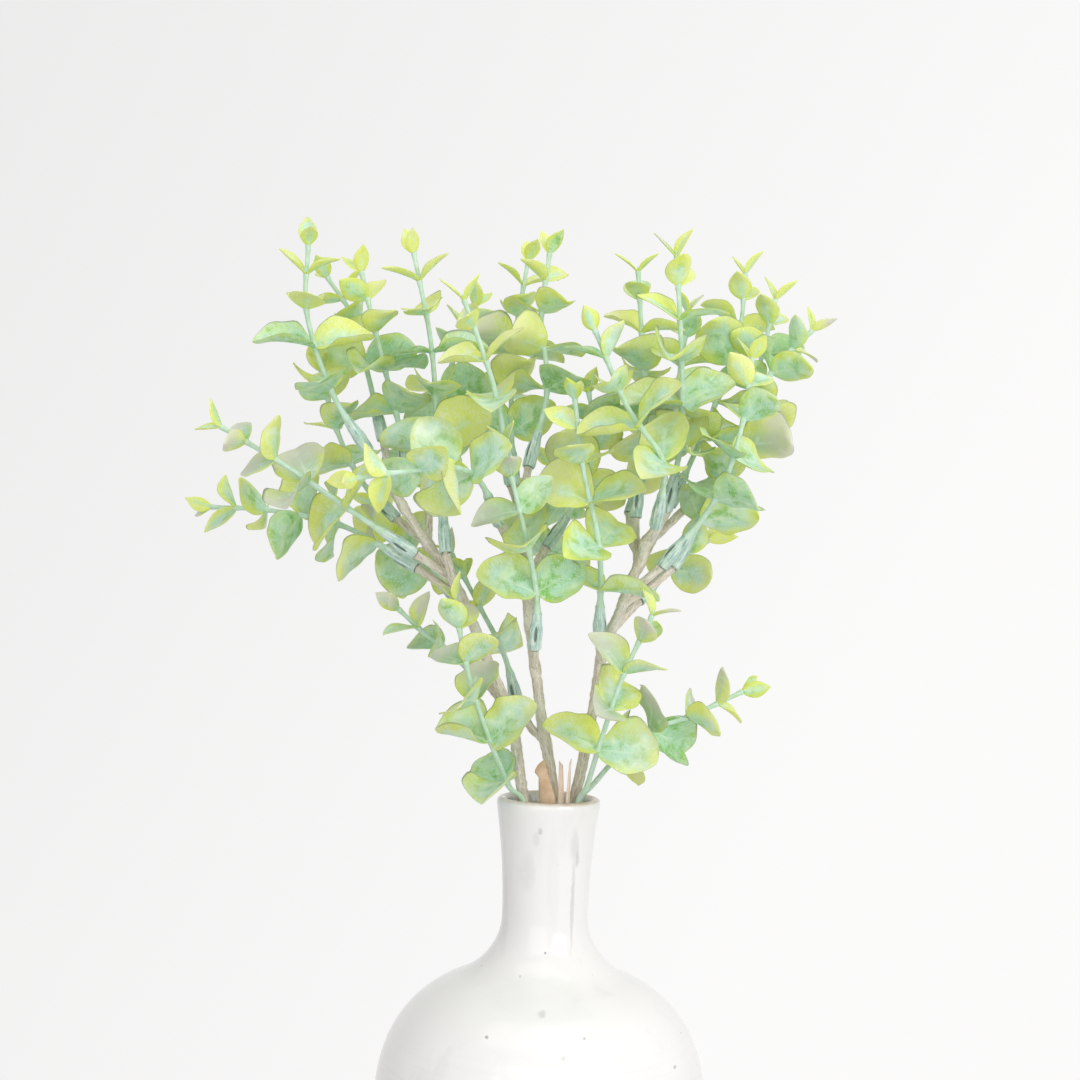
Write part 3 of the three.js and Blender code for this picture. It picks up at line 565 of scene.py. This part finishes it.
def wire_finish():
    """Drawn steel with fine lines along it."""
    finish = Finish("wire", Metallic=0.9, Roughness=0.4)
    lines = finish.streaks(finish.straight(), 0.05, 4, 3, 0.6)
    colour = finish.mixed(lines, shade(150, 152, 155), shade(186, 187, 189))
    return finish.wear(colour, lines.between(0.2, 0.8, 0.3, 0.5), lines, 0.0001, 0.4)


# Smudges under the glaze: x, height, half width, half height and darkness, in millimetres from the foot.
SMUDGES = [
    (13.4, 204, 1.9, 9, 0.2), (14.5, 199, 0.9, 4.5, 0.36), (12.9, 178, 0.9, 21, 0.3),
    (-3.4, 212, 1.0, 1.6, 0.42), (-5.4, 208, 1.8, 3.4, 0.15), (-9.6, 192, 3.6, 9, 0.12),
    (0.6, 154.9, 0.55, 0.55, 0.9), (0.2, 133.4, 1.6, 1.3, 0.3), (-25, 124, 0.7, 0.65, 0.8),
    (19, 125, 0.55, 0.5, 0.6), (9.5, 118, 1.1, 0.8, 0.3), (62, 108, 0.7, 0.7, 0.6),
    (-11, 145, 0.5, 0.5, 0.4), (-20, 176, 2.4, 22, 0.14), (3, 186, 3, 24, 0.06),
]


def glaze_finish():
    """White gloss glaze: grey smudges and specks, turning lines on the belly, brown clay at the rim and
    painted shade inside the mouth.
    """
    finish = Finish("glaze", Specular_IOR_Level=0.45, Coat_Weight=0.2, Coat_Roughness=0.05)
    place = finish.place()
    rim = finish.mark("rim")
    inside = finish.mark("inside")
    x, y, z = finish.parts(place)
    patch = finish.cloud(place, 11, 3, 0.55)
    drift = finish.streaks(place, 0.25, 60, 3, 0.6)
    small = finish.cloud(place, 260, 3, 0.6)
    turned = finish.cloud(finish.joined(0, 0, z), 420, 2, 0.5)
    dirt = 0
    for at, height, wide, tall, dark in SMUDGES:
        across = (x * 1000 - at + (small - 0.5) * 1.2 + (drift - 0.5) * wide * 2.4) * (1 / wide)
        upward = (z * 1000 - height) * (1 / tall)
        near = (across * across + upward * upward).between(1.8, 0.0)
        dirt = (near * dark).at_least(dirt)
    dirt = dirt * y.between(0.01, -0.01) * small.between(0.25, 0.5, 0.6, 1.0)
    speck = finish.add("TexVoronoi", {"Vector": place, "Scale": 55})
    belly = z.between(0.124, 0.106) * z.between(0.03, 0.06)
    lines = turned.between(0.5, 0.3) * belly * small.between(0.3, 0.6)
    colour = finish.layered((232, 231, 230), (patch, 0.35, 0.65, 1, (226, 225, 224)),
                            (drift, 0.55, 0.75, 0.25, (204, 203, 202)))
    colour = finish.mixed(lines * 0.3, colour, shade(196, 195, 194))
    colour = finish.mixed(dirt, colour, shade(140, 138, 136))
    colour = finish.layered(colour, (speck, 0.05, 0.02, drift.between(0.45, 0.5) * 0.9, (128, 122, 116)))
    clay = rim * small.between(0.2, 0.65, 0.4, 1.0) * x.between(-0.03, 0.02, 0.5, 1.0)
    colour = finish.mixed(clay * 0.8, colour, shade(196, 160, 134))
    # Painted shade: the inner wall and floor are greyer.
    colour = finish.mixed(inside * 0.6, colour, shade(190, 188, 184))
    height = turned * belly * 0.6 + drift * 0.4
    return finish.wear(colour, patch.between(0.3, 0.7, 0.12, 0.2), height, 0.0004, 0.25)


def fibre_finish(name, specular, blotch, pull, scale, shades, rough, relief, strength):
    """Paper or straw: blotched, with fibres along it. shades are its ground, patches, light and dark."""
    finish = Finish(name, Specular_IOR_Level=specular)
    place = finish.place()
    cloud = finish.cloud(place, *blotch)
    fibre = finish.streaks(place, pull, scale, 3, 0.7)
    ground, patch, light, dark = shades
    colour = finish.layered(ground, (cloud, 0.35, 0.65, 1, patch), (fibre, 0.5, 0.75, 0.5, light),
                            (fibre, 0.42, 0.28, 0.4, dark))
    return finish.wear(colour, fibre.between(0.2, 0.8, *rough), fibre + cloud * relief, 0.0003, strength)


KRAFT_SHADES = (222, 194, 166), (204, 172, 142), (236, 214, 190), (176, 142, 112)
STRAW_SHADES = (242, 222, 204), (234, 206, 188), (250, 240, 226), (206, 172, 148)
LEAF = leaf_finish()
GREEN_STEM = stem_finish()
SOCKET = socket_finish()
BARK = bark_finish()
WIRE = wire_finish()
GLAZE = glaze_finish()
PAPER = fibre_finish("kraft_paper", 0.2, (160, 3, 0.6), 0.3, 1800, KRAFT_SHADES, (0.78, 0.92), 1, 0.6)
STRAW = fibre_finish("packing_straw", 0.25, (130, 2), 0.08, 2600, STRAW_SHADES, (0.66, 0.84), 0, 0.7)


# Bottle

def bezier(a, b, c, d, steps):
    """Points and headings of a curve with four handles, as radius and height."""
    t = np.linspace(0, 1, steps + 1)[:, None]
    a, b, c, d = (np.array(p, float) for p in (a, b, c, d))
    point = (1 - t) ** 3 * a + 3 * t * (1 - t) ** 2 * b + 3 * t * t * (1 - t) * c + t ** 3 * d
    slope = 3 * (1 - t) ** 2 * (b - a) + 6 * t * (1 - t) * (c - b) + 3 * t * t * (d - c)
    return point, unit(slope)


def bottle_profile():
    """Radius and height from the middle of the foot, up the outside and down the inside."""
    shoulder = bezier([BELLY_RADIUS, BELLY_HEIGHT], [BELLY_RADIUS, 120], [54, 137], [29, 142.5], 50)
    neck = bezier([THROAT_RADIUS, 163], [20.3, 186], [22.6, 206], [MOUTH_RADIUS, BOTTLE_TOP - 3.2], 30)
    # The shoulder runs into the neck in one soft sweep.
    low, low_slope = shoulder[0][41], shoulder[1][41]
    high, high_slope = neck[0][2], neck[1][2]
    sweep = bezier(low, low + 14 * low_slope, high - 12 * high_slope, high, 24)
    belly = bezier([FOOT_RADIUS + 2, 1.5], [66, 8], [BELLY_RADIUS, 34], [BELLY_RADIUS, BELLY_HEIGHT], 36)
    point, slope = (np.vstack([belly[k], shoulder[k][1:42], sweep[k][1:], neck[k][3:]]) for k in (0, 1))
    inner = point + WALL * np.stack([-slope[:, 1], slope[:, 0]], 1)
    inner = inner[inner[:, 1] > FLOOR + FOOT_INSET][::-1]
    foot = [[0, 0], [FOOT_RADIUS * 0.5, 0], [FOOT_RADIUS - 1, 0], [FOOT_RADIUS + 0.6, 0.35]]
    turn = np.linspace(0.1, 0.9, 11)[:, None] * np.pi
    middle = np.array([(point[-1, 0] + inner[0, 0]) / 2, BOTTLE_TOP - 2.5])
    half = (point[-1, 0] - inner[0, 0]) / 2
    lip = middle + np.hstack([half * np.cos(turn), 2.5 * np.sin(turn)])
    floor = [[FOOT_RADIUS - FOOT_INSET, FLOOR], [FOOT_RADIUS * 0.5, FLOOR], [0, FLOOR]]
    outside = len(foot) + len(point)
    return np.vstack([foot, point, lip, inner, floor]), outside, outside + len(lip)


def make_bottle():
    profile, lip_start, lip_end = bottle_profile()
    rings = profile[1:-1]
    angle = around(BOTTLE_SIDES)
    # A hand-turned wall is never quite round.
    wobble = 0.22 * np.sin(2 * angle + 0.7) + 0.12 * np.sin(3 * angle + 2.0)
    strength = smooth(rings[:, 1], 2, 40)[:, None]
    radius = rings[:, :1] + strength * wobble
    ring = np.stack([radius * np.cos(angle), radius * np.sin(angle),
                     np.repeat(rings[:, 1:], BOTTLE_SIDES, 1)], -1).reshape(-1, 3)
    points = np.vstack([ring, [[0, 0, profile[0, 1]], [0, 0, profile[-1, 1]]]])
    number = np.arange(1, len(profile) - 1)
    rim = smooth(rings[:, 1], BOTTLE_TOP - 1.5, BOTTLE_TOP - 0.3) * (number >= lip_start - 1)
    # inside grows from the lip down the inner wall and floor, for the painted shade there.
    inside = smooth(number, (lip_start + lip_end) / 2, lip_end + 3)
    marks = {"rim": [*np.repeat(rim, BOTTLE_SIDES), 0, 0], "inside": [*np.repeat(inside, BOTTLE_SIDES), 0, 1]}
    make_piece("bottle", [(0, points, ring_faces(len(rings), BOTTLE_SIDES), marks)], [GLAZE])


# Leafy sprays

class Spray:
    """One moulding: a leafy stem with its leaf pairs, bud and socket."""

    def __init__(self, number, name, trunk, height, roll, route):
        self.number = number
        self.node = f"spray_{name}"
        self.trunk = trunk
        self.height = height
        self.roll = roll
        self.curve = Curve(route)
        self.tail = BARE_TAILS.get(name)
        self.dusty = DUSTY.get(name, USUAL_DUSTY)
        chord = self.curve.at(1.0) - self.curve.at(0.0)
        backwards = abs(chord[1]) > max(abs(chord[0]), BACKWARD_REACH)
        self.reference = np.array([1.0, 0, 0] if backwards else [0, -1.0, 0])
        bare = self.tail or SOCKET_LENGTH + BARE_ABOVE_SOCKET
        self.pairs = []
        distance = 0
        while distance <= self.curve.length - bare:
            self.pairs.append(distance)
            distance += min(LARGEST_GAP, FIRST_GAP + GAP_GROWTH * (len(self.pairs) - 1))

    def sideways(self, heading):
        """Two directions across the stem that its leaf pairs are measured from."""
        first = unit(self.reference - heading * np.sum(self.reference * heading, -1, keepdims=True))
        return first, np.cross(heading, first)


def outline(s, root=0.6, tip=0.6):
    """Half width of a leaf along its midrib, as a share of the widest."""
    power = root + (tip - root) * smooth(s, 0.3, 0.6)
    return np.abs(np.sin(np.pi * s ** WIDEST_BIAS)) ** power


class Leaf:
    """The pose and shape of one leaf. s runs from its root to its tip, t from edge to edge."""

    def __init__(self, spray, pair, side, nature, move):
        turn, lift, share = move
        curve = spray.curve
        self.root, stem = curve.place(curve.length - spray.pairs[pair])
        first, second = spray.sideways(stem)
        aside = math.radians(spray.roll + 90 * pair + 180 * side + LOOSE_TURN * (nature[0] - 0.5) + turn)
        out = first * math.cos(aside) + second * math.sin(aside)
        natural = min(LARGEST_TILT, TIP_TILT + TILT_GROWTH * pair) + LOOSE_TILT * (nature[1] - 0.5)
        tilt = math.radians(max(SMALLEST_TILT, natural + lift))
        self.along = stem * math.cos(tilt) + out * math.sin(tilt)
        looseness = min(1, TIP_LOOSENESS + LOOSENESS_GROWTH * pair)
        face = stem * math.sin(tilt) - out * math.cos(tilt)
        front = np.array(FRONT)
        face = face + front * OPENING * looseness * (-1 if face @ front < 0 else 1)
        face = unit(face - self.along * (face @ self.along))
        roll = math.radians(LOOSE_ROLL * (nature[5] - 0.5) * looseness)
        self.face = np.array(Matrix.Rotation(roll, 3, Vector(self.along)) @ Vector(face))
        self.across = np.cross(self.along, self.face)
        grown = min(LARGEST_LEAF, TIP_LEAF + LEAF_GROWTH * pair)
        self.length = grown * (1 + LOOSE_SIZE * (nature[2] - 0.5)) * share
        self.ratio = min(LARGEST_RATIO, TIP_RATIO + RATIO_GROWTH * pair)
        self.curl = TIP_CURL + CURL_GROWTH * min(pair, CURL_PAIRS) + LOOSE_CURL * nature[3]
        self.cup = CUP + LOOSE_CUP * nature[4]
        self.twist = LOOSE_TWIST * (nature[6] - 0.5)
        self.pair = pair
        self.dusty = spray.dusty

    def surface(self, s, t, half=None, extra=0.0):
        """Points of the middle surface and the directions out of its face."""
        s, t = np.broadcast_arrays(np.asarray(s, float), np.asarray(t, float))
        if half is None:
            half = outline(s)
        half = 0.5 * self.length * self.ratio * half
        face = unit(self.face + (self.curl * s)[..., None] * self.along)
        lift = half * (self.cup * t * t + self.twist * s * t + extra)
        point = self.root + (self.length * s)[..., None] * self.along
        point = point - (0.5 * self.curl * self.length * s * s)[..., None] * self.face
        return point + (t * half)[..., None] * self.across + lift[..., None] * face, face


def corner_tree(name):
    """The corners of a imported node, in millimetres, for finding the nearest one."""
    corners = [v.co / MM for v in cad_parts[name].data.vertices]
    tree = KDTree(len(corners))
    for number, corner in enumerate(corners):
        tree.insert(corner, number)
    tree.balance()
    return tree


def stands_in(leaf, tree, tolerance=0.08):
    """True if the solid has this leaf's tip and its widest corners."""
    point, face = leaf.surface(np.array([1, 0.27, 0.27]), np.array([0, 1, -1]))
    tried = np.vstack([point + BLADE / 2 * face, point - BLADE / 2 * face])
    return all(tree.find(Vector(spot))[2] < tolerance for spot in tried)


def grown_leaves(spray):
    """The leaves that the solid has, each in the pose that its corners show."""
    tree = corner_tree(spray.node)
    draw = draws_from(SEED_STEP * (spray.number + 1))
    leaves = []
    for pair in range(len(spray.pairs)):
        for side in (0, 1):
            nature = [next(draw) for _ in range(DRAWS_PER_LEAF)]
            poses = (Leaf(spray, pair, side, nature, move) for move in MOVES)
            leaf = next((one for one in poses if stands_in(one, tree)), None)
            if leaf:
                leaves.append(leaf)
    return leaves


LEAF_FINISH, STEM_FINISH, SOCKET_FINISH = range(3)


def leaf_skin(leaf, number, random):
    """The skin of one fine leaf: a thin lens in section, with waved and rolled edges."""
    u = np.linspace(0, 1, LEAF_LENGTHS + 1)
    s = np.clip(0.5 * u + 0.25 * (1 - np.cos(np.pi * u)), 0, 0.997)[:, None]
    v = np.linspace(-1, 1, LEAF_WIDTHS + 1)
    t = np.sin(np.pi / 2 * v * 0.98) / math.sin(math.pi / 2 * 0.98)
    upper = t[None, ::-1]
    lower = t[None, 1:-1]
    across = np.concatenate([upper, lower], 1)
    over = np.concatenate([np.ones_like(upper), -np.ones_like(lower)], 1)
    pointed = 0.95 - 0.13 * min(leaf.pair, 3)
    half = outline(s, 0.8 if leaf.pair < 2 else 0.62, pointed + random.uniform(-0.06, 0.06))
    # One side of a blade is a little fuller than the other, and its edge is uneven.
    grown = min(1, leaf.pair / 3)
    half = half * (1 + random.uniform(-0.07, 0.07) * across)
    nicks = np.sin(2 * np.pi * (random.uniform(2.2, 3.6) * s + random.random())) * np.sign(across)
    half = half * (1 + 0.022 * grown * nicks * smooth(s, 0.1, 0.3))
    petiole = 2 * PETIOLE_HALF / (leaf.length * leaf.ratio)
    half = np.maximum(half, petiole * smooth(-s, -0.5, -0.1))
    wave = random.uniform(0.03, 0.09) * across ** 2 * np.sin(
        2 * np.pi * (random.uniform(1.1, 2.2) * s + random.random() + 0.25 * np.sign(across)))
    curled = [random.uniform(0.5, 0.85) if random.random() < 0.16 else random.uniform(-0.2, 0.34)
              for _ in range(2)]
    rolls = np.where(across > 0, curled[0], curled[1])
    rolled = rolls * np.abs(across) ** 4 * smooth(s, 0.08, 0.35)
    nod = random.uniform(-0.22, 0.12) * smooth(s, 0.6, 1.0) ** 2
    point, face = leaf.surface(s, across, half, (wave + rolled) * grown + nod)
    thickness = LEAF_THICKNESS + 0.2 * (leaf.pair < 2) + 0.7 * np.exp(-s / 0.07)
    groove = 0.12 * np.exp(-(across / 0.16) ** 2) * (over > 0)
    lens = np.sqrt(np.clip(1 - across ** 2, 0, 1))
    point = point + ((0.5 * thickness * lens - groove) * over)[..., None] * face
    tip, _ = leaf.surface(1.0, 0.0, 0.0)
    points = np.vstack([point.reshape(-1, 3), point[0].mean(0)[None], tip[None]])
    ripe = 0.65 - 0.05 * min(leaf.pair, 4) - 0.35 * leaf.dusty
    ripeness = np.clip(random.normal(ripe, 0.22), 0.05, 1)
    dust = 1.0 if random.random() < leaf.dusty else random.uniform(0, 0.4)
    count = len(points)
    sides = across.shape[1]
    layer = 50.0 * number
    flat = np.stack([np.repeat(leaf.length * s, sides, 1), 0.5 * leaf.length * leaf.ratio * half * across,
                     np.full((len(s), sides), layer)], -1)
    marks = {
        "along": [*np.repeat(s[:, 0], sides), 0, 1],
        "across": [*np.broadcast_to(across, point.shape[:2]).ravel(), 0, 0],
        "ripeness": np.full(count, ripeness),
        "dust": np.full(count, dust),
        "size": np.full(count, leaf.length / LARGEST_LEAF),
        "straight": np.vstack([flat.reshape(-1, 3), [[0, 0, layer], [leaf.length, 0, layer]]]),
    }
    return LEAF_FINISH, points, ring_faces(len(s), sides), marks


def stem_skin(spray):
    """The leafy stem with its pair collars and bud."""
    length = spray.curve.length
    reach = np.arange(length, 0 if spray.tail else SOCKET_LENGTH - 1.5, -1.3)[::-1]
    radius = SPRAY_ROOT_RADIUS + (SPRAY_TIP_RADIUS - SPRAY_ROOT_RADIUS) * reach / length
    for pair in spray.pairs:
        away = reach - (length - pair)
        radius = radius + 0.42 * np.exp(-(away / 1.3) ** 2) + 0.12 * np.exp(-((away + 2.2) / 1.5) ** 2)
    if not spray.tail:
        neck = smooth(-reach, -SOCKET_LENGTH - 7, -SOCKET_LENGTH)
        radius = radius + (SOCKET_NECK_RADIUS - 0.1 - radius) * neck
    bud = np.array([0.6, 1.4, 2.2, BUD_LENGTH])
    reach = np.concatenate([reach, length + bud])
    radius = np.concatenate([radius, SPRAY_TIP_RADIUS * np.array([1.0, 0.8, 0.5, 0.15])])
    return skin(spray.curve, reach, radius, around(STEM_SIDES), spray.sideways, None, STEM_FINISH,
                90 * spray.number)


def slot_depth(reach, angle):
    """How deep the long slots of a socket are, from 0 to 1, which also sets the painted shade in them. They
    are on two opposite sides.
    """
    sideways = ((angle + np.pi / 2) % np.pi - np.pi / 2) / 0.3
    lengthways = (reach - 8.4) / 5.2
    return smooth(-(sideways ** 2 + lengthways ** 2), -1.0, -0.35)


def socket_skin(spray, random):
    """The ribbed socket, hollow from its foot, with two long slots and a neck that the stem grows from."""
    turn = math.radians(spray.roll + 90)
    even = around(SOCKET_SIDES)
    # The points stand closer together where the slots are.
    apart = even - 0.36 * np.sin(2 * even)
    low = np.concatenate([[0, 0.35], np.linspace(0.9, SOCKET_LENGTH + 1.5, 30)])
    body = SOCKET_RADIUS - 0.22 - 0.1 * np.cos(low / 2.6)
    body = body + (SOCKET_NECK_RADIUS + 0.05 - body) * smooth(low, 8.5, 17.5)
    body[0] -= 0.12
    bore_reach = np.array([SOCKET_BORE_DEPTH, SOCKET_BORE_DEPTH / 2, 0.4, 0])
    bore = SOCKET_BORE_RADIUS + np.array([0, 0, 0, 0.3])
    reach = np.concatenate([bore_reach, low])
    radius = np.concatenate([bore, body])
    outside = (np.arange(len(reach)) >= len(bore_reach))[:, None]
    slots = slot_depth(reach[:, None], apart[None, :]) * outside
    phase = random.uniform(0, 6.3, 3)

    def bumps(distance, angle):
        fade = smooth(distance, -0.5, 1.5) * smooth(-distance, -18, -12)
        ribs = 0.2 * np.abs(np.sin(3.5 * angle + phase[0] + 0.03 * distance)) - 0.12
        ribs = ribs + 0.09 * np.sin(11 * angle + phase[1])
        ribs = ribs + 0.06 * np.sin(1.1 * distance + 2 * angle + phase[2])
        return np.where(outside, ribs * fade * (1 - slots) - 0.72 * slots, 0)

    # The slot depth is kept as a mark, for the painted shade in the slots.
    return skin(spray.curve, reach, radius, apart + turn, spray.sideways, bumps, SOCKET_FINISH,
                90 * spray.number, slot_depth=[*slots.ravel(), 0, 0])


def make_spray(number, plan):
    spray = Spray(number, *plan)
    random = np.random.default_rng(SEED_STEP + number)
    skins = [stem_skin(spray)]
    if not spray.tail:
        skins.append(socket_skin(spray, random))
    for leaf in grown_leaves(spray):
        skins.append(leaf_skin(leaf, 20 * number + len(skins), random))
    make_piece(spray.node, skins, [LEAF, GREEN_STEM, SOCKET])
    return spray


# Main stems

def point_at_height(curve, height):
    steps = 400
    points = curve.at(np.arange(steps + 1) / steps)
    above = np.nonzero(points[:, 2] >= height)[0]
    return points[above[0]] if len(above) else points[-1]


def bark_bumps(random, strength):
    """Ridges and cracks that run along a stem, and lumps between them."""
    ridges = [(number, random.uniform(0, 6.3), random.uniform(0.01, 0.05)) for number in (2, 3, 5, 7)]
    lumps = [(random.uniform(0.15, 1.8), random.integers(1, 4), random.uniform(0, 6.3)) for _ in range(6)]

    def bumps(distance, angle):
        height = sum(np.sin(k * angle + phase + drift * distance) / k for k, phase, drift in ridges) * 0.5
        height = height + sum(np.sin(f * distance + k * angle + phase) for f, k, phase in lumps) / 6
        height = height - 0.5 * np.exp(-(np.sin(2.5 * angle + 0.11 * distance + ridges[0][1]) / 0.22) ** 2)
        return strength * height
    return bumps


def make_main_stem(name, number, sprays):
    curve = Curve(TRUNKS[name])
    random = np.random.default_rng(100 + number)
    length = curve.length
    wire_end = np.interp(WIRE_REACH, np.linspace(0, 1, Curve.STEPS + 1), curve.lengths)
    bore = np.arange(wire_end, 0.5, -6.0)
    outer = np.append(np.arange(0.7, length, 1.0), length)
    share = curve.share_at(outer)
    radius = STEM_FOOT_RADIUS + (STEM_TOP_RADIUS - STEM_FOOT_RADIUS) * share
    fed = [spray for spray in sprays if spray.trunk == name]
    for spray in fed:
        start = point_at_height(curve, spray.height)
        nearest = outer[np.argmin(np.linalg.norm(curve.place(outer)[0] - start, axis=1))]
        radius = radius + 0.45 * np.exp(-((outer - nearest) / 3.2) ** 2)
    reach = np.concatenate([bore, [0, 0], outer, [length + 0.8]])
    radii = np.concatenate([np.full(len(bore) + 1, WIRE_BORE_RADIUS), [STEM_FOOT_RADIUS - 0.5], radius,
                            [STEM_TOP_RADIUS * 0.5]])
    ridges = bark_bumps(random, 0.36)
    outside = (np.arange(len(reach)) >= len(bore) + 2)[:, None]
    skins = [skin(curve, reach, radii, around(TRUNK_SIDES),
                  bumps=lambda distance, angle: np.where(outside, ridges(distance, angle), 0))]
    for spray in fed:
        start = point_at_height(curve, spray.height)
        root, along = spray.curve.place(0.0)
        shoulder = root - PEG_SHOULDER_GAP * along
        gap = np.linalg.norm(shoulder - start)
        lean = start + (shoulder - start) * 0.55 + along * -0.12 * gap
        twig = Curve([start, (start + lean) / 2, lean, shoulder])
        steps = np.append(np.arange(0, twig.length, 0.9), twig.length)
        thick = TWIG_RADIUS * (1 + 0.28 * np.exp(-steps / 3.5)) - 0.12
        thick = thick + 0.2 * np.exp(-((steps - twig.length) / 1.2) ** 2)
        knobs = bark_bumps(random, 0.24)
        peg = np.array([-PEG_SHOULDER_GAP - 0.8, PEG_LENGTH / 2, PEG_LENGTH - 0.6, PEG_LENGTH])
        peg_radius = PEG_RADIUS * np.array([1, 1, 1, 0.7])
        shift = 560 + 60 * len(skins)
        skins.append(skin(twig, steps, thick, around(TWIG_SIDES), None, knobs, shift=shift))
        skins.append(skin(spray.curve, peg, peg_radius, around(TWIG_SIDES), spray.sideways, shift=shift + 60))
    make_piece(f"main_stem_{name}", skins, [BARK])
    make_wire(name, curve, wire_end)


def make_wire(name, curve, end):
    reach = np.append(np.arange(0, end, 4.0), end)
    radii = np.full(len(reach), WIRE_RADIUS)
    make_piece(f"wire_core_{name}", [skin(curve, reach, radii, around(WIRE_SIDES))], [WIRE])


# Paper and straw in the mouth

# Name, finish, slot, outline, thickness, place, lean, yaw and bow
LOOSE = [
    ("paper_strip", PAPER, "paper",
     [[-3.4, 0], [3.2, 0], [4, 25], [1, 34], [-1.6, 44], [-5, 41], [-6.6, 37.5], [-4.4, 35]],
     0.7, (-0.5, -8.4, 201), 3, -8, 0.5),
    ("straw_wide", STRAW, "straw", [[-1.3, 0], [1.2, 0], [1.7, 30], [0.9, 44], [-1.1, 46]],
     0.8, (5.6, -9.6, 198), -1, 12, 0.2),
    ("straw_thin", STRAW, "straw", [[-0.7, 0], [0.7, 0], [1, 28], [0.4, 44]],
     0.8, (8.4, -8.2, 201), 3, 30, 0.1),
    ("straw_bent", STRAW, "straw", [[-0.8, 0], [0.7, 0], [2.2, 26], [3.6, 43], [2.4, 41]],
     0.8, (7.6, -11.4, 203), 2, -20, 0.15),
]


def outline_span(corners, height):
    """The lowest and highest x of a closed outline at a height."""
    found = []
    for (x0, z0), (x1, z1) in zip(corners, corners[1:] + corners[:1]):
        if z0 != z1 and min(z0, z1) <= height <= max(z0, z1):
            found.append(x0 + (x1 - x0) * (height - z0) / (z1 - z0))
    return min(found), max(found)


def make_loose(name, finish, slot, corners, thickness, at, lean, yaw, bow):
    heights = np.linspace(0, max(z for _, z in corners) - 0.15, 40)
    spans = np.array([outline_span(corners, z) for z in heights])
    v = np.linspace(-1, 1, 9)
    swell = 0.5 * np.sqrt(1 - 0.97 * v ** 8)
    section = np.vstack([np.stack([v, -0.5 - swell], 1), np.stack([v, -0.5 + swell], 1)[::-1]])
    half = (spans[:, 1] - spans[:, 0])[:, None] / 2 + 0.01
    x = spans.mean(1)[:, None] + half * section[:, 0]
    curve = bow * (section[:, 0] ** 2 - 0.5) + bow * np.sin(heights / 7)[:, None]
    y = thickness * section[:, 1] * 0.8 + curve
    points = np.stack([x, y, np.repeat(heights[:, None], x.shape[1], 1)], -1)
    ends = np.stack([points[0].mean(0), points[-1].mean(0)])
    points = np.vstack([points.reshape(-1, 3), ends])
    turn = Matrix.Rotation(math.radians(yaw), 3, "Z") @ Matrix.Rotation(math.radians(lean), 3, "X")
    points = points @ np.array(turn).T + np.array(at)
    make_piece(name, [(0, points, ring_faces(len(heights), len(section)), {})], [finish])


make_bottle()
sprays = [make_spray(number, plan) for number, plan in enumerate(SPRAYS)]
for number, name in enumerate(TRUNKS):
    make_main_stem(name, number, sprays)
for plan in LOOSE:
    make_loose(*plan)


# Floor, light and camera

FLOOR_FADE_START = 0.16
FLOOR_FADE_END = 0.27


def make_floor():
    """A pale floor that fades out a little way from the bottle."""
    mesh = bpy.data.meshes.new("floor")
    reach = FLOOR_FADE_END * 1.2
    mesh.from_pydata([[-reach, -reach, 0], [reach, -reach, 0], [reach, reach, 0], [-reach, reach, 0]], [],
                     [[0, 1, 2, 3]])
    floor = placed("floor", mesh)
    floor.location.z = -0.0004
    finish = Finish("pale_floor", Roughness=0.8)
    place = finish.place()
    colour = finish.mixed(finish.cloud(place, 60), shade(226, 225, 223), shade(222, 221, 219))
    away = finish.vector("LENGTH", place, output="Value")
    finish.feed(finish.shader.inputs["Base Color"], colour)
    finish.feed(finish.shader.inputs["Alpha"], away.between(FLOOR_FADE_START, FLOOR_FADE_END, 1.0, 0.0))
    mesh.materials.append(finish.material)


def add_light(name, place, target, width, height, power):
    light = bpy.data.lights.new(name, "AREA")
    light.shape = "RECTANGLE"
    light.size = width
    light.size_y = height
    light.energy = power
    holder = placed(name, light)
    holder.location = place
    holder.rotation_euler = (Vector(target) - Vector(place)).to_track_quat("-Z", "Y").to_euler()


def light_room():
    """Bright, even light from all round, with a soft window on the right."""
    world = bpy.data.worlds.new("studio")
    bpy.context.scene.world = world
    world.use_nodes = True
    room = Nodes(world.node_tree)
    direction = room.add("TexCoord", output="Generated")
    # Brighter to the right and downwards, dimmer at the sides and in front
    level = (room.vector("DOT_PRODUCT", direction, (0.19, 0, -0.1), "Value") + 0.925).at_most(0.97)
    dimmer = room.add("MapRange", {0: room.parts(direction)[1], 1: 0.3, 2: 0.8, 3: 0.86, 4: 1.0})
    background = world.node_tree.nodes["Background"]
    background.inputs["Color"].default_value = (1.0, 0.995, 0.99, 1)
    room.feed(background.inputs["Strength"], level * dimmer)
    add_light("window", (0.775, -0.923, 0.69), (0, 0, 0.2), 0.62, 0.72, 5.3)
    add_light("sky", (-0.1, -0.2, 1.7), (0, 0, 0.3), 1.4, 1.4, 5.5)
    add_light("open_door", (-0.3, -1.5, 0.7), (0, 0, 0.25), 1.3, 1.5, 6.5)


CAMERA_PLACE = (-8.15, -873, 349.6)
CAMERA_ROLL = 1.84
LENS = 60


def place_camera():
    camera = placed("camera", bpy.data.cameras.new("camera"))
    camera.data.lens = LENS
    turn = Matrix.Rotation(math.radians(-CAMERA_ROLL), 4, "Y") @ Matrix.Rotation(math.radians(90), 4, "X")
    camera.matrix_world = Matrix.Translation(Vector(CAMERA_PLACE) * MM) @ turn
    bpy.context.scene.camera = camera


make_floor()
light_room()
place_camera()
bpy.context.scene.view_settings.view_transform = "Standard"
